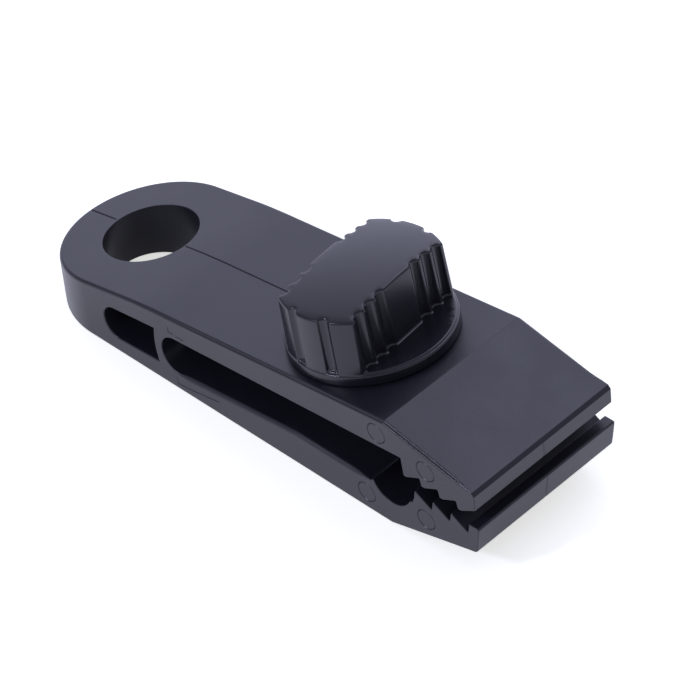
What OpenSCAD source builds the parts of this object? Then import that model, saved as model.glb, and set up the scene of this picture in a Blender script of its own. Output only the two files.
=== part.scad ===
// Tarp clip: a moulded eye with two toothed jaws that a thumb knob draws together.
// X runs from the eye to the lips, Y across the jaws, Z up. The origin is on the
// eye's bore axis, on the plane that the clip lies on.

/* [Body] */
// Width across the jaws
body_w = 36; // [30:0.5:44]
// Bore of the eye, which takes a cord, a hook or a stake
eye_bore_d = 19; // [14:0.5:22]
// Wall of the tube round the eye's bore, where the side pockets lay it bare
eye_tube_wall = 2.5; // [1.5:0.1:4]
// Height of the eye on its bore's axis
eye_h = 13.3; // [12.5:0.1:15]
// Slope of the eye's top face, in degrees
eye_slope = 11.6; // [9:0.1:13]
// Distance from the bore's axis to the bend where the eye becomes the upper arm
bend_x = 16.2; // [15:0.1:18]
// Run of that bend each side of its middle
bend_reach = 5.5; // [3:0.1:6]
// Slope of the upper arm's top face, in degrees
arm_slope = 7.5; // [6.5:0.1:9]
// Distance from the bore's axis to the front of the lower lip
reach = 102.2; // [98:0.1:112]

/* [Slot and pockets] */
// Distance from the bore's axis to the centre of the slot's round closed end
slot_x = 25.3; // [23.5:0.1:27]
// Height of the slot's closed end at its centre
slot_z = 8.45; // [8:0.05:9]
// Radius of the slot's closed end
slot_r = 4.3; // [3.8:0.1:4.6]
// Slope of the upper arm's underside, in degrees
under_slope = 5.6; // [5:0.1:6.2]
// Thickness of the lower arm where the screw crosses it
floor_z = 7.85; // [7.4:0.05:8.6]
// Distance from the bore's axis to where the lower arm reaches that thickness
floor_x = 56; // [52:0.5:60]
// Web between the slot's closed end and the side pockets
web_t = 2; // [1.4:0.1:2.6]
// Distance from the bore's axis to the centre of a pocket's round rear end
pocket_x = 8.6; // [7.5:0.1:10]
// Radius of a pocket's rear end
pocket_r = 3.7; // [3:0.1:4]
// Height of a pocket's rear end at its centre
pocket_z = 7.2; // [6.8:0.1:7.6]
// Slope of a pocket's roof, in degrees
pocket_roof_slope = 8; // [5:0.5:9]
// Slope of a pocket's floor, in degrees
pocket_floor_slope = 3.6; // [2:0.1:5]

/* [Jaws] */
// Length of the nose and of the chin, which taper to the lips
nose_len = 22.2; // [20:0.1:24]
// Slope of the nose, in degrees
nose_slope = 11.9; // [10:0.1:13]
// Rise of the chin at the lower lip
chin_rise = 6; // [4.5:0.1:7]
// Set-back of the chin's edge under the lower lip
chin_setback = 0.9; // [0.3:0.1:1.5]
// Set-back of the upper lip behind the lower one
lip_setback = 0.6; // [0.2:0.1:1.2]
// Gap between the lips in the pose of the picture
lip_gap = 4.35; // [3.8:0.05:5]
// Height of the middle of the bite
bite_z = 13.35; // [13:0.05:13.8]
// Gap between the upper and the lower tooth tips
bite_gap = 2.2; // [2:0.05:2.6]
// Teeth in each jaw
tooth_count = 4; // [3:1:4]
// Distance from one tooth to the next
tooth_pitch = 4.4; // [4:0.1:4.6]
// Depth of the upper teeth
upper_tooth_h = 1.7; // [1.2:0.1:2]
// Depth of the lower teeth
lower_tooth_h = 2.3; // [1.8:0.1:2.6]
// Flat land on an upper tooth's tip
tooth_land = 0.8; // [0.5:0.1:1.2]
// Run of a tooth's steep face
tooth_rake = 0.4; // [0.2:0.1:0.6]
// Distance from the lower lip to the upper jaw's last steep face
lip_len = 5.1; // [4.6:0.1:5.6]
// How far the lower teeth lie ahead of the upper ones
tooth_stagger = 2.5; // [2.2:0.1:2.7]
// Radius of the round groove behind the lower teeth, for a hem's rope
groove_r = 4.85; // [4.2:0.05:5]
// Depth of that groove under the slot's floor
groove_depth = 2.4; // [1.8:0.1:3]
// Land between that groove and the first lower tooth
groove_lip = 1.2; // [0.6:0.1:1.6]
// Height of the ridge behind the groove
ridge_h = 0.65; // [0.4:0.05:1]
// Angle that the jaw opens from the pose of the picture, in degrees
jaw_open = 4.5; // [3:0.1:5]
// Angle that it closes from that pose, in degrees
jaw_close = 2.2; // [1.5:0.1:2.3]

/* [Flexure] */
// Distance from the slot's closed end to the line that the upper arm bends about
hinge_reach = 3.2; // [2.5:0.1:5]
// Radius of the round knuckle that stands for the flexure
knuckle_r = 1.6; // [1.2:0.1:1.9]
// Relief each side of the knuckle, in degrees
hinge_relief = 14; // [10:1:20]

/* [Knob] */
// Distance from the bore's axis to the screw, along the upper arm's top
screw_x = 60.2; // [56:0.1:62]
// Diameter of the knob's flange
flange_d = 32.5; // [28:0.1:34]
// Height of the flange
flange_h = 2.8; // [2:0.1:3.2]
// Rounding of the flange's edge
flange_round = 1.2; // [0.5:0.1:1.5]
// Diameter over the grip's round ends
grip_d = 31.8; // [28:0.1:32]
// Thickness of the grip between its flats
grip_t = 17.6; // [15:0.1:18]
// Height of the knob above the arm
knob_h = 15.7; // [12:0.1:18]
// Fall of the grip's domed top at its ends
dome_fall = 1.7; // [0.6:0.1:2.5]
// Radius of the grooves in the grip
flute_r = 1.3; // [1.1:0.1:1.4]
// Depth of those grooves
flute_depth = 0.85; // [0.6:0.05:1]
// Grooves at each end of each flat
flute_count = 3; // [2:1:3]
// Distance from the grip's middle to its first groove
flute_start = 5; // [4.5:0.1:5.2]
// Distance from one groove to the next
flute_pitch = 3.1; // [2.8:0.1:3.3]
// Distance from a round end's middle to its two grooves
end_flute = 3.6; // [2.5:0.1:5]
// Running clearance of the flange over the arm
seat_clear = 0.05; // [0.03:0.01:0.1]
// Turn of the grip in the pose of the picture, in degrees
knob_turn = 6; // [0:1:30]

/* [Screw and nut] */
// Diameter of the screw
screw_d = 5; // [4:0.5:5]
// Width across the flats of the screw's head and of the nut
hex_af = 8; // [7:0.5:9]
// Height of the screw's head
head_h = 3.5; // [2.5:0.1:4]
// Depth of plastic under the screw's head
head_bed = 3; // [2:0.1:5]
// Height of the nut
nut_h = 4; // [3:0.1:4.5]
// Depth of the nut and of the screw's tip inside the lower arm's underside
nut_inset = 1.6; // [1.4:0.1:2]
// Clearance of the screw in the upper arm
hole_clear = 0.3; // [0.2:0.05:0.5]
// Running clearance of the screw in the nut
thread_clear = 0.1; // [0.06:0.01:0.1]
// Clearance of the nut in its pocket
nut_clear = 0.25; // [0.2:0.05:0.4]
// Clearance of the hinge's knuckle and of the screw in the knob
fit_clear = 0.05; // [0.02:0.01:0.08]

/* [Hidden] */
$fn = 96;
plastic = [0.13, 0.13, 0.145];
steel = [0.72, 0.73, 0.75];
// Overrun of every cut past the face that it opens
over = web_t / 2;
// Straight pieces that draw the soft bend between eye and arm
bend_steps = 6;

half_w = body_w / 2;
eye_bore_r = eye_bore_d / 2;
tube_r = eye_bore_r + eye_tube_wall;
screw_r = screw_d / 2;
hex_r = hex_af / 2 / cos(30);
flange_r = flange_d / 2;
grip_r = grip_d / 2;
// Distance of a groove's centre outside the face that it cuts
flute_out = flute_r - flute_depth;

// Top line: the eye's slope, then the arm's, then the nose's
bend_z = eye_h + bend_x * tan(eye_slope);
nose_x = reach - nose_len;
upper_lip_x = reach - lip_setback;
function eye_top(x) = eye_h + x * tan(eye_slope);
function arm_top(x) = bend_z + (x - bend_x) * tan(arm_slope);
function nose_top(x) = arm_top(nose_x) - (x - nose_x) * tan(nose_slope);
// Lower lines of the upper arm and upper lines of the lower one
function arm_under(x) = slot_z + slot_r + (x - slot_x) * tan(under_slope);
upper_tip_z = bite_z + bite_gap / 2;
lower_tip_z = bite_z - bite_gap / 2;

// A quadratic curve between the two slopes, tangent to both
function bend_point(t) =
    let (a = [bend_x - bend_reach, eye_top(bend_x - bend_reach)],
         b = [bend_x, bend_z],
         c = [bend_x + bend_reach, arm_top(bend_x + bend_reach)])
    pow(1 - t, 2) * a + 2 * t * (1 - t) * b + pow(t, 2) * c;
bend_points = [for (i = [0 : bend_steps]) bend_point(i / bend_steps)];

// Flexure: the point in the side view that the upper arm bends about
hinge_x = slot_x + hinge_reach;
hinge_z = (arm_top(hinge_x) + arm_under(hinge_x)) / 2;
relief_x = hinge_x - (arm_top(hinge_x) - hinge_z) * tan(hinge_relief);

// Screw axis, square to the upper arm's top, with depths counted down from there
axis_len = arm_top(screw_x) / cos(arm_slope);
tip_depth = axis_len - nut_inset;
nut_top = tip_depth - nut_h;
hinge_depth = (arm_top(screw_x) - hinge_z) * cos(arm_slope) - (screw_x - hinge_x) * sin(arm_slope);
swing = tip_depth - hinge_depth;
swing_open = swing * sin(jaw_open);
swing_close = swing * sin(jaw_close);
pocket_roof = nut_top - hex_r * sin(jaw_open) - nut_clear;

// Steep faces of the teeth, from the rear one to the front one
function upper_tooth_x(i) = reach - lip_len - (tooth_count - 1 - i) * tooth_pitch;
function lower_tooth_x(i) = upper_tooth_x(i) + tooth_stagger;

// Each upper tooth: its steep rear face, its land and the slope up to the next one
upper_teeth = [
    for (i = [0 : tooth_count - 1])
        let (x = upper_tooth_x(i),
             root_z = i == 0 ? arm_under(x) : upper_tip_z + upper_tooth_h)
        each [[x - tooth_rake / 2, root_z],
              [x + tooth_rake / 2, upper_tip_z],
              [x + tooth_rake / 2 + tooth_land, upper_tip_z]]];
// Each lower tooth: its valley and its tip, with a slope down to the next one
lower_teeth = [
    for (i = [0 : tooth_count - 1])
        let (x = lower_tooth_x(i))
        each [[x - tooth_rake / 2, lower_tip_z - lower_tooth_h],
              [x + tooth_rake / 2, lower_tip_z]]];

// Round groove behind the first lower tooth
groove_z = floor_z - groove_depth + groove_r;
ridge_z = floor_z + ridge_h;
first_valley_x = lower_tooth_x(0) - tooth_rake / 2;
groove_half = sqrt(pow(groove_r, 2) - pow(groove_z - ridge_z, 2));
groove_x = first_valley_x - groove_lip - groove_half;
ridge_x = groove_x - groove_half;

// A side view, carried across the clip's width
module across(width) {
    rotate([90, 0, 0]) linear_extrude(width, center = true) children();
}

// Side view of the eye, up to the relieved end of the flexure
module eye_side() {
    polygon(concat(
        [[-half_w, 0], [slot_x, 0], [slot_x, arm_under(slot_x)], [relief_x, arm_under(relief_x)],
         [hinge_x, hinge_z], [relief_x, arm_top(relief_x)]],
        [for (i = [bend_steps : -1 : 0]) bend_points[i]],
        [[-half_w, eye_top(-half_w)]]));
}

// Side view of the lower arm, its teeth and its chin
module lower_arm_side() {
    polygon(concat(
        [[0, 0], [nose_x, 0], [reach - chin_setback, chin_rise], [reach, lower_tip_z]],
        [for (i = [len(lower_teeth) - 1 : -1 : 0]) lower_teeth[i]],
        [[first_valley_x - tooth_rake, ridge_z + tooth_rake], [ridge_x, ridge_z],
         [ridge_x - ridge_h, floor_z], [floor_x, floor_z], [slot_x, slot_z - slot_r], [0, slot_z - slot_r]]));
}

// Side view of a pocket beside the eye's tube, which ends in a web round the slot
module pocket_side() {
    pocket_end = slot_x - slot_r;
    run = pocket_end - pocket_x;
    difference() {
        union() {
            translate([pocket_x, pocket_z]) circle(pocket_r);
            polygon([[pocket_x, pocket_z - pocket_r],
                     [pocket_end, pocket_z - pocket_r + run * tan(pocket_floor_slope)],
                     [pocket_end, pocket_z + pocket_r + run * tan(pocket_roof_slope)],
                     [pocket_x, pocket_z + pocket_r]]);
        }
        translate([slot_x, slot_z]) circle(slot_r + web_t);
    }
}

// Side view of the upper arm, its teeth and its nose, with the flexure's knuckle
module upper_jaw_side() {
    polygon(concat(
        [[hinge_x, arm_under(hinge_x)]],
        upper_teeth,
        [[upper_lip_x, lower_tip_z + lip_gap], [upper_lip_x, nose_top(upper_lip_x)],
         [nose_x, arm_top(nose_x)], [hinge_x, arm_top(hinge_x)]]));
    translate([hinge_x, hinge_z]) circle(knuckle_r);
}

// Plan of the clip: a round rear end about the eye's bore and straight sides
module plan_block() {
    translate([0, 0, -over]) linear_extrude(2 * axis_len) {
        circle(half_w);
        translate([0, -half_w]) square([reach + over, body_w]);
    }
}

// The screw's own frame: its axis is Z, and zero is on the upper arm's top face
module on_screw() {
    translate([screw_x, 0, arm_top(screw_x)]) rotate([0, -arm_slope, 0]) children();
}

// A straight slot along X between two round ends
module slotted(length_back, length_front, radius, height) {
    for (x = [-length_back, length_front]) translate([x, 0, 0]) cylinder(h = height, r = radius);
    translate([-length_back, -radius, 0]) cube([length_back + length_front, 2 * radius, height]);
}

// Room for the nut, which slides and tips in the lower arm as the screw swings with the jaw
module nut_room() {
    wall = hex_af / 2 + nut_clear;
    back = hex_r + swing_close + nut_clear;
    front = hex_r + swing_open + nut_clear;
    translate([-back, -wall, -axis_len - hex_af]) {
        cube([back + front, 2 * wall, axis_len + hex_af - pocket_roof]);
    }
    translate([0, 0, -pocket_roof - over]) {
        slotted(swing_close, swing_open, screw_r + hole_clear, pocket_roof);
    }
}

// The fixed half of the moulding: the eye, the lower arm and its teeth
module eye_and_lower_jaw() color(plastic) {
    difference() {
        intersection() {
            across(body_w + 2 * over) difference() {
                union() {
                    eye_side();
                    lower_arm_side();
                }
                translate([slot_x, slot_z]) circle(slot_r);
                translate([groove_x, groove_z]) circle(groove_r);
                translate([hinge_x, hinge_z]) circle(knuckle_r + fit_clear);
            }
            plan_block();
        }
        difference() {
            across(body_w + 2 * over) pocket_side();
            translate([0, 0, -over]) cylinder(h = axis_len, r = tube_r);
        }
        translate([0, 0, -over]) cylinder(h = axis_len, r = eye_bore_r);
        intersection() {
            on_screw() nut_room();
            translate([0, -half_w, -axis_len]) cube([reach, body_w, axis_len + floor_z + ridge_h]);
        }
    }
}

// The springing half of the moulding: the upper arm, its teeth and its nose
module upper_jaw() color(plastic) {
    difference() {
        across(body_w) upper_jaw_side();
        on_screw() translate([0, 0, -axis_len]) cylinder(h = axis_len + over, r = screw_r + hole_clear);
    }
}

// Flange of the knob, with a round edge
module flange() {
    rotate_extrude() {
        square([flange_r - flange_round, flange_h]);
        square([flange_r, flange_h - flange_round]);
        translate([flange_r - flange_round, flange_h - flange_round]) circle(flange_round);
    }
}

// Plan of the grip: a disc cut by two flats, with grooves in its flats and its ends
module grip_plan() {
    difference() {
        intersection() {
            circle(grip_r);
            square([grip_t, grip_d], center = true);
        }
        for (side = [-1, 1], end = [-1, 1]) {
            for (i = [0 : flute_count - 1]) {
                translate([side * (grip_t / 2 + flute_out), end * (flute_start + i * flute_pitch)]) circle(flute_r);
            }
            end_spot = [side * end_flute, end * sqrt(pow(grip_r, 2) - pow(end_flute, 2))];
            translate(end_spot * (1 + flute_out / grip_r)) circle(flute_r);
        }
    }
}

// The knob that the hand turns: a flange and a fluted, domed grip round the screw's head
module thumb_knob() color(plastic) {
    dome_r = (pow(grip_r, 2) + pow(dome_fall, 2)) / (2 * dome_fall);
    on_screw() rotate([0, 0, knob_turn]) difference() {
        union() {
            flange();
            intersection() {
                linear_extrude(knob_h) grip_plan();
                translate([0, 0, knob_h - dome_r]) sphere(dome_r);
            }
        }
        translate([0, 0, -over]) cylinder(h = over + seat_clear, r = flange_d);
        translate([0, 0, -over]) cylinder(h = head_bed + 2 * over, r = screw_r + fit_clear);
        translate([0, 0, head_bed]) cylinder(h = head_h + fit_clear, r = hex_r + fit_clear, $fn = 6);
    }
}

// The steel screw that the knob is moulded round
module clamp_screw() color(steel) {
    on_screw() rotate([0, 0, knob_turn]) {
        translate([0, 0, head_bed]) cylinder(h = head_h, r = hex_r, $fn = 6);
        translate([0, 0, -tip_depth]) cylinder(h = tip_depth + head_bed, r = screw_r);
    }
}

// The steel nut that the lower arm holds, with its flats along the slot in the arm
module captive_nut() color(steel) {
    on_screw() translate([0, 0, -tip_depth]) difference() {
        cylinder(h = nut_h, r = hex_r, $fn = 6);
        translate([0, 0, -over]) cylinder(h = nut_h + 2 * over, r = screw_r + thread_clear);
    }
}

eye_and_lower_jaw();
upper_jaw();
thumb_knob();
clamp_screw();
captive_nut();
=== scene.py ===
"""Looks of a moulded tarp clip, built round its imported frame.

X runs from the eye to the lips, Y across the jaws and Z up. Sizes are written in
millimetres and degrees, as on a drawing, and become metres when a mesh is made.
"""
import logging
import math
from collections.abc import Callable, Sequence
from dataclasses import dataclass
from enum import Enum
from typing import Any, ClassVar

import bmesh
import bpy
import numpy as np
from mathutils import Matrix, Vector
from mathutils.geometry import delaunay_2d_cdt
from numpy.typing import NDArray


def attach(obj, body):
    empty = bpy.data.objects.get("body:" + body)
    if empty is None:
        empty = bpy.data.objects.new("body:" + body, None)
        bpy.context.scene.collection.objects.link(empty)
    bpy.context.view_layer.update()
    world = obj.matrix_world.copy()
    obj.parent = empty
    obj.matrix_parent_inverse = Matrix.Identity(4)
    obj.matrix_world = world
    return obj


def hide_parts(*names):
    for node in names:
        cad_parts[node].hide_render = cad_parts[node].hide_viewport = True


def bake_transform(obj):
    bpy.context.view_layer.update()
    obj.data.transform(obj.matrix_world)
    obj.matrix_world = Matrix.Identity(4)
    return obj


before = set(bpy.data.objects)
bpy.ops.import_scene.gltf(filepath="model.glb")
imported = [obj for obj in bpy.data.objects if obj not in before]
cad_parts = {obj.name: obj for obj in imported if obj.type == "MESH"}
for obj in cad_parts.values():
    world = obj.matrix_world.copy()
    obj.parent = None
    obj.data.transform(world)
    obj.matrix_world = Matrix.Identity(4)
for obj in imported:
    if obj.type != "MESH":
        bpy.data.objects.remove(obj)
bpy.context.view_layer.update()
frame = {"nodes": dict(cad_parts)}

Array = NDArray[np.float64]
Numbers = NDArray[np.int64]
Place = Callable[[Array], Array]
Span = tuple[float, float]
Spots = Sequence[Span]
Paths = Sequence[Spots]
Socket = bpy.types.NodeSocket
Tree = bpy.types.NodeTree

MM = 0.001
TINY = 1e-9
# Points closer than this, in millimetres, are one point
WELD = 0.002
# Edges that turn by more than this stay sharp in the shading
SHARP_TURN = 40.0
# How much larger faces lead in the shading of an edge
FLAT_WEIGHT = 100
# Points of a fill closer than this are one point
FILL_TINY = 1e-7
# Least cosine of half a corner's turn that an offset follows
MITRE_LIMIT = 0.5
LOG = logging.getLogger("tarp_clip")


class Side(Enum):
    """The two long sides of the clip, by the sign of Y."""

    NEAR = -1.0
    FAR = 1.0


class Slot(Enum):
    """Material slots of the record."""

    BODY = "moulded_nylon"
    KNOB = "knob_nylon"
    STEEL = "zinc_plated_steel"


def unit(vectors: Array) -> Array:
    """Vectors along the last axis, scaled to a length of one."""
    return vectors / np.maximum(np.linalg.norm(vectors, axis=-1, keepdims=True), TINY)


def xyz(x: Any, y: Any, z: Any) -> Array:
    """Points from their three coordinates, each an array or one number."""
    return np.stack(np.broadcast_arrays(x, y, z), axis=-1).astype(float)


def pairs(a: Any, b: Any) -> Array:
    """Points of a plane from their two coordinates, each an array or one number."""
    return np.stack(np.broadcast_arrays(a, b), axis=-1).astype(float)


def raised(plan: Array, height: Any) -> Array:
    """Points of a plan at their heights."""
    return xyz(plan[..., 0], plan[..., 1], height)


def across(view: Array, y: Any) -> Array:
    """Points of a side view at their places across the clip."""
    return xyz(view[..., 0], y, view[..., 1])


def polar(radius: Any, angle: Array, height: Any) -> Array:
    """Points from their distances and angles about the Z axis, and their heights."""
    return xyz(radius * np.cos(angle), radius * np.sin(angle), height)


def rise(degrees: float) -> float:
    """How far a slope rises for each unit along it."""
    return math.tan(math.radians(degrees))


def mirrored(points: Array) -> Array:
    """Points on the other side of the plane Y = 0."""
    return points * np.array([1.0, -1.0, 1.0])


def conic(a: Array, corner: Array, b: Array, steps: int) -> Array:
    """Rounds a corner with the conic that touches both of its legs.

    The curve is a rational quadratic from a to b with the corner as its control point. Its
    weight is the sine of half the corner's angle, so equal legs give an arc of a circle.

    Args:
        a: First ends of the rounds, one per row.
        corner: The sharp corners.
        b: Second ends of the rounds.
        steps: Straight pieces in each round.

    Returns:
        Points of shape (steps + 1, rows, dimensions).
    """
    t = np.linspace(0.0, 1.0, steps + 1).reshape(-1, *[1] * a.ndim)
    cosine = np.sum(unit(a - corner) * unit(b - corner), axis=-1, keepdims=True)
    pull = 2.0 * np.sqrt((1.0 - cosine) / 2.0) * t * (1.0 - t)
    return ((1 - t) ** 2 * a + pull * corner + t**2 * b) / ((1 - t) ** 2 + pull + t**2)


def stepped(face: Array, corner: Array, wall: Array, steps: int, share: Array) -> Array:
    """Rounds an edge, or makes two smaller rounds there with a fine step between them.

    Args:
        face: Ends of the round on the swept face, one per row.
        corner: The sharp edge.
        wall: Ends of the round on the wall.
        steps: Straight pieces across the edge, an even number.
        share: How far the step is formed at each row, from zero to one.

    Returns:
        Points of shape (steps + 1, rows, dimensions).
    """
    middle = (face + wall) / 2.0
    upper = conic(face, (face + corner) / 2.0, middle, steps // 2)
    lower = conic(middle, (corner + wall) / 2.0, wall, steps // 2)
    plain = conic(face, corner, wall, steps)
    return plain + (np.concatenate([upper, lower[1:]]) - plain) * share[:, None]


def distinct(path: Array) -> Array:
    """A path without points that repeat the one before."""
    steps = np.linalg.norm(np.diff(path, axis=0), axis=1)
    return path[np.concatenate([[True], steps > WELD])]


def rounded_path(corners: Array, radii: Array, steps: int = 5) -> Array:
    """An open path through corners, each rounded by its own radius.

    Args:
        corners: Corner points in a plane, in order.
        radii: Radius at each corner, zero at the two ends.
        steps: Straight pieces in each round.

    Returns:
        The points of the path.
    """
    ahead = unit(np.diff(corners, axis=0, append=corners[-1:]))
    behind = np.vstack([np.zeros((1, 2)), ahead[:-1]])
    turn = np.arccos(np.clip(np.sum(ahead * behind, axis=1), -1.0, 1.0))
    run = (radii * np.tan(turn / 2.0))[:, None]
    arcs = conic(corners - behind * run, corners, corners + ahead * run, steps)
    return distinct(arcs.transpose(1, 0, 2).reshape(-1, 2))


def densify(path: Array, step: float) -> Array:
    """Adds points to a path so that no piece of it is long.

    Args:
        path: The points of an open path.
        step: Length that no piece exceeds.

    Returns:
        The points of the same path, the old ones among them.
    """
    leaps = np.diff(path, axis=0)
    counts = np.maximum(1, np.ceil(np.linalg.norm(leaps, axis=1) / step)).astype(int)
    piece = np.repeat(np.arange(len(leaps)), counts)
    share = np.arange(counts.sum()) - np.repeat(np.cumsum(counts) - counts, counts)
    share = (share / counts[piece])[:, None]
    return np.vstack([path[piece] + share * leaps[piece], path[-1:]])


def right_normals(path: Array, closed: bool = False) -> Array:
    """Normals to the right of travel, lengthened at corners so that an offset keeps its distance.

    Args:
        path: The points of a path in a plane.
        closed: Whether the last point joins the first.

    Returns:
        A normal for each point.
    """
    if closed:
        path = np.vstack([path[-1:], path, path[:1]])
    steps = unit(np.diff(path, axis=0))
    before = np.vstack([steps[:1], steps])
    after = np.vstack([steps, steps[-1:]])
    middle = unit(before + after)
    reach = 1.0 / np.maximum(np.sum(middle * after, axis=1, keepdims=True), MITRE_LIMIT)
    normals = pairs(middle[:, 1], -middle[:, 0]) * reach
    return normals[1:-1] if closed else normals


def eased(path: Array, values: Array, reach: float) -> Array:
    """Evens out values along a path.

    Args:
        path: The points of an open path.
        values: A value for each point.
        reach: How far along the path, both ways, a value is averaged.

    Returns:
        The average for each point.
    """
    along = np.concatenate([[0.0], np.cumsum(np.linalg.norm(np.diff(path, axis=0), axis=1))])
    steps = np.diff(along) * (values[1:] + values[:-1]) / 2.0
    total = np.concatenate([[0.0], np.cumsum(steps)])
    low = np.clip(along - reach, 0.0, along[-1])
    high = np.clip(along + reach, 0.0, along[-1])
    return (np.interp(high, along, total) - np.interp(low, along, total)) / (high - low)


def ray(angle: Array) -> Array:
    """Directions in a plane at angles from its first axis."""
    return pairs(np.cos(angle), np.sin(angle))


def circle(radius: float, count: int, x: float = 0.0, y: float = 0.0) -> Array:
    """A closed ring of points in a plane, counter-clockwise."""
    return np.array([x, y]) + radius * ray(np.linspace(0.0, 2.0 * np.pi, count, endpoint=False))


def within(points: Array, loop: Array) -> NDArray[np.bool_]:
    """Tests which points lie inside a closed loop, by the even and odd rule.

    Args:
        points: Points in a plane.
        loop: The points of the loop.

    Returns:
        Whether each point lies inside.
    """
    a, b = loop[None], np.roll(loop, -1, axis=0)[None]
    x, y = points[:, None, 0], points[:, None, 1]
    spans = (a[..., 1] > y) != (b[..., 1] > y)
    height = np.where(spans, b[..., 1] - a[..., 1], 1.0)
    cross = (b[..., 0] - a[..., 0]) * (y - a[..., 1]) / height + a[..., 0]
    return np.sum(spans & (x < cross), axis=1) % 2 == 1


class Shell:
    """Patches of surface, in millimetres, that weld into one closed mesh."""

    def __init__(self, name: str) -> None:
        """Starts an empty shell.

        Args:
            name: The piece's name.
        """
        self.name = name
        self.points: list[Array] = []
        self.faces: list[list[int]] = []
        self.count = 0

    def _add(self, points: Array, faces: Numbers) -> None:
        """Takes in a patch.

        Args:
            points: Its points.
            faces: Numbers of the points round each of its faces.
        """
        self.points.append(points)
        self.faces.extend((faces + self.count).tolist())
        self.count += len(points)

    def grid(self, rows: Array, around: bool = False) -> None:
        """Adds four-sided faces between rows of points.

        Args:
            rows: Points of shape (rows, columns, 3).
            around: Whether the last column joins the first.
        """
        index = np.arange(rows.shape[0] * rows.shape[1]).reshape(rows.shape[:2])
        if around:
            index = np.concatenate([index, index[:, :1]], axis=1)
        corners = [index[:-1, :-1], index[:-1, 1:], index[1:, 1:], index[1:, :-1]]
        self._add(rows.reshape(-1, 3), np.stack(corners, axis=-1).reshape(-1, 4))

    def twin(self, rows: Array, around: bool = False) -> None:
        """Adds the faces between rows of points, and their mirror image on the other side."""
        self.grid(rows, around)
        self.grid(mirrored(rows), around)

    def polygon(self, loop: Array) -> None:
        """Adds one flat face inside a closed loop of points."""
        self._add(loop, np.arange(len(loop))[None])

    def fill(self, loops: Sequence[Array], place: Place, lines: Sequence[Array] = ()) -> None:
        """Adds triangles that fill a flat outline with holes, drawn in a plane.

        Args:
            loops: Closed loops, the outline first and its holes after it.
            place: Carries points of the plane to their place in space.
            lines: Open lines that the triangles follow.
        """
        # Rounded as the triangulation rounds them, so that the test below agrees with it
        parts = [part.astype(np.float32).astype(float) for part in (*loops, *lines)]
        starts = np.cumsum([0] + [len(part) for part in parts])
        edges: list[tuple[int, int]] = []
        for number, part in enumerate(parts):
            ring = np.arange(len(part)) + starts[number]
            links = np.stack([ring, np.roll(ring, -1)], axis=1)
            edges.extend(map(tuple, links[: len(part) if number < len(loops) else -1].tolist()))
        flat = delaunay_2d_cdt(list(map(Vector, np.vstack(parts))), edges, [], 0, FILL_TINY)
        points = np.array([tuple(v) for v in flat[0]])
        triangles = np.array(flat[2])
        middle = points[triangles].mean(axis=1)
        keep = within(middle, parts[0])
        for hole in parts[1 : len(loops)]:
            keep &= ~within(middle, hole)
        self._add(place(points), triangles[keep])

    def make(self, material: bpy.types.Material) -> bpy.types.Object:
        """Welds the patches and makes the piece's object.

        Args:
            material: The finish of the whole piece.

        Returns:
            The new object, at the origin, with its place in its mesh.
        """
        mesh = bpy.data.meshes.new(self.name)
        mesh.from_pydata(np.vstack(self.points) * MM, [], self.faces)
        work = bmesh.new()
        work.from_mesh(mesh)
        bmesh.ops.remove_doubles(work, verts=work.verts, dist=WELD * MM)
        bmesh.ops.recalc_face_normals(work, faces=work.faces)
        gaps = sum(1 for edge in work.edges if len(edge.link_faces) != 2)
        work.to_mesh(mesh)
        work.free()
        mesh.shade_smooth()
        mesh.set_sharp_from_angle(angle=math.radians(SHARP_TURN))
        mesh.materials.append(material)
        made = bpy.data.objects.new(self.name, mesh)
        bpy.context.scene.collection.objects.link(made)
        weighted = made.modifiers.new("flat faces stay flat", "WEIGHTED_NORMAL")
        weighted.weight = FLAT_WEIGHT
        weighted.keep_sharp = True
        LOG.info("%s: %d faces, %d open edges", self.name, len(mesh.polygons), gaps)
        return made


class Piece:
    """A piece of the clip, which adds its faces to a shell under its own name."""

    name: ClassVar[str]
    shell: Shell

    def add_faces(self) -> None:
        """Adds all the piece's faces to its shell."""
        raise NotImplementedError

    def build(self, material: bpy.types.Material) -> bpy.types.Object:
        """Makes the piece.

        Args:
            material: Its finish.

        Returns:
            The piece's object, which stands for the node of the same piece in the frame.
        """
        self.shell = Shell(self.name)
        self.add_faces()
        return self.shell.make(material)


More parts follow.
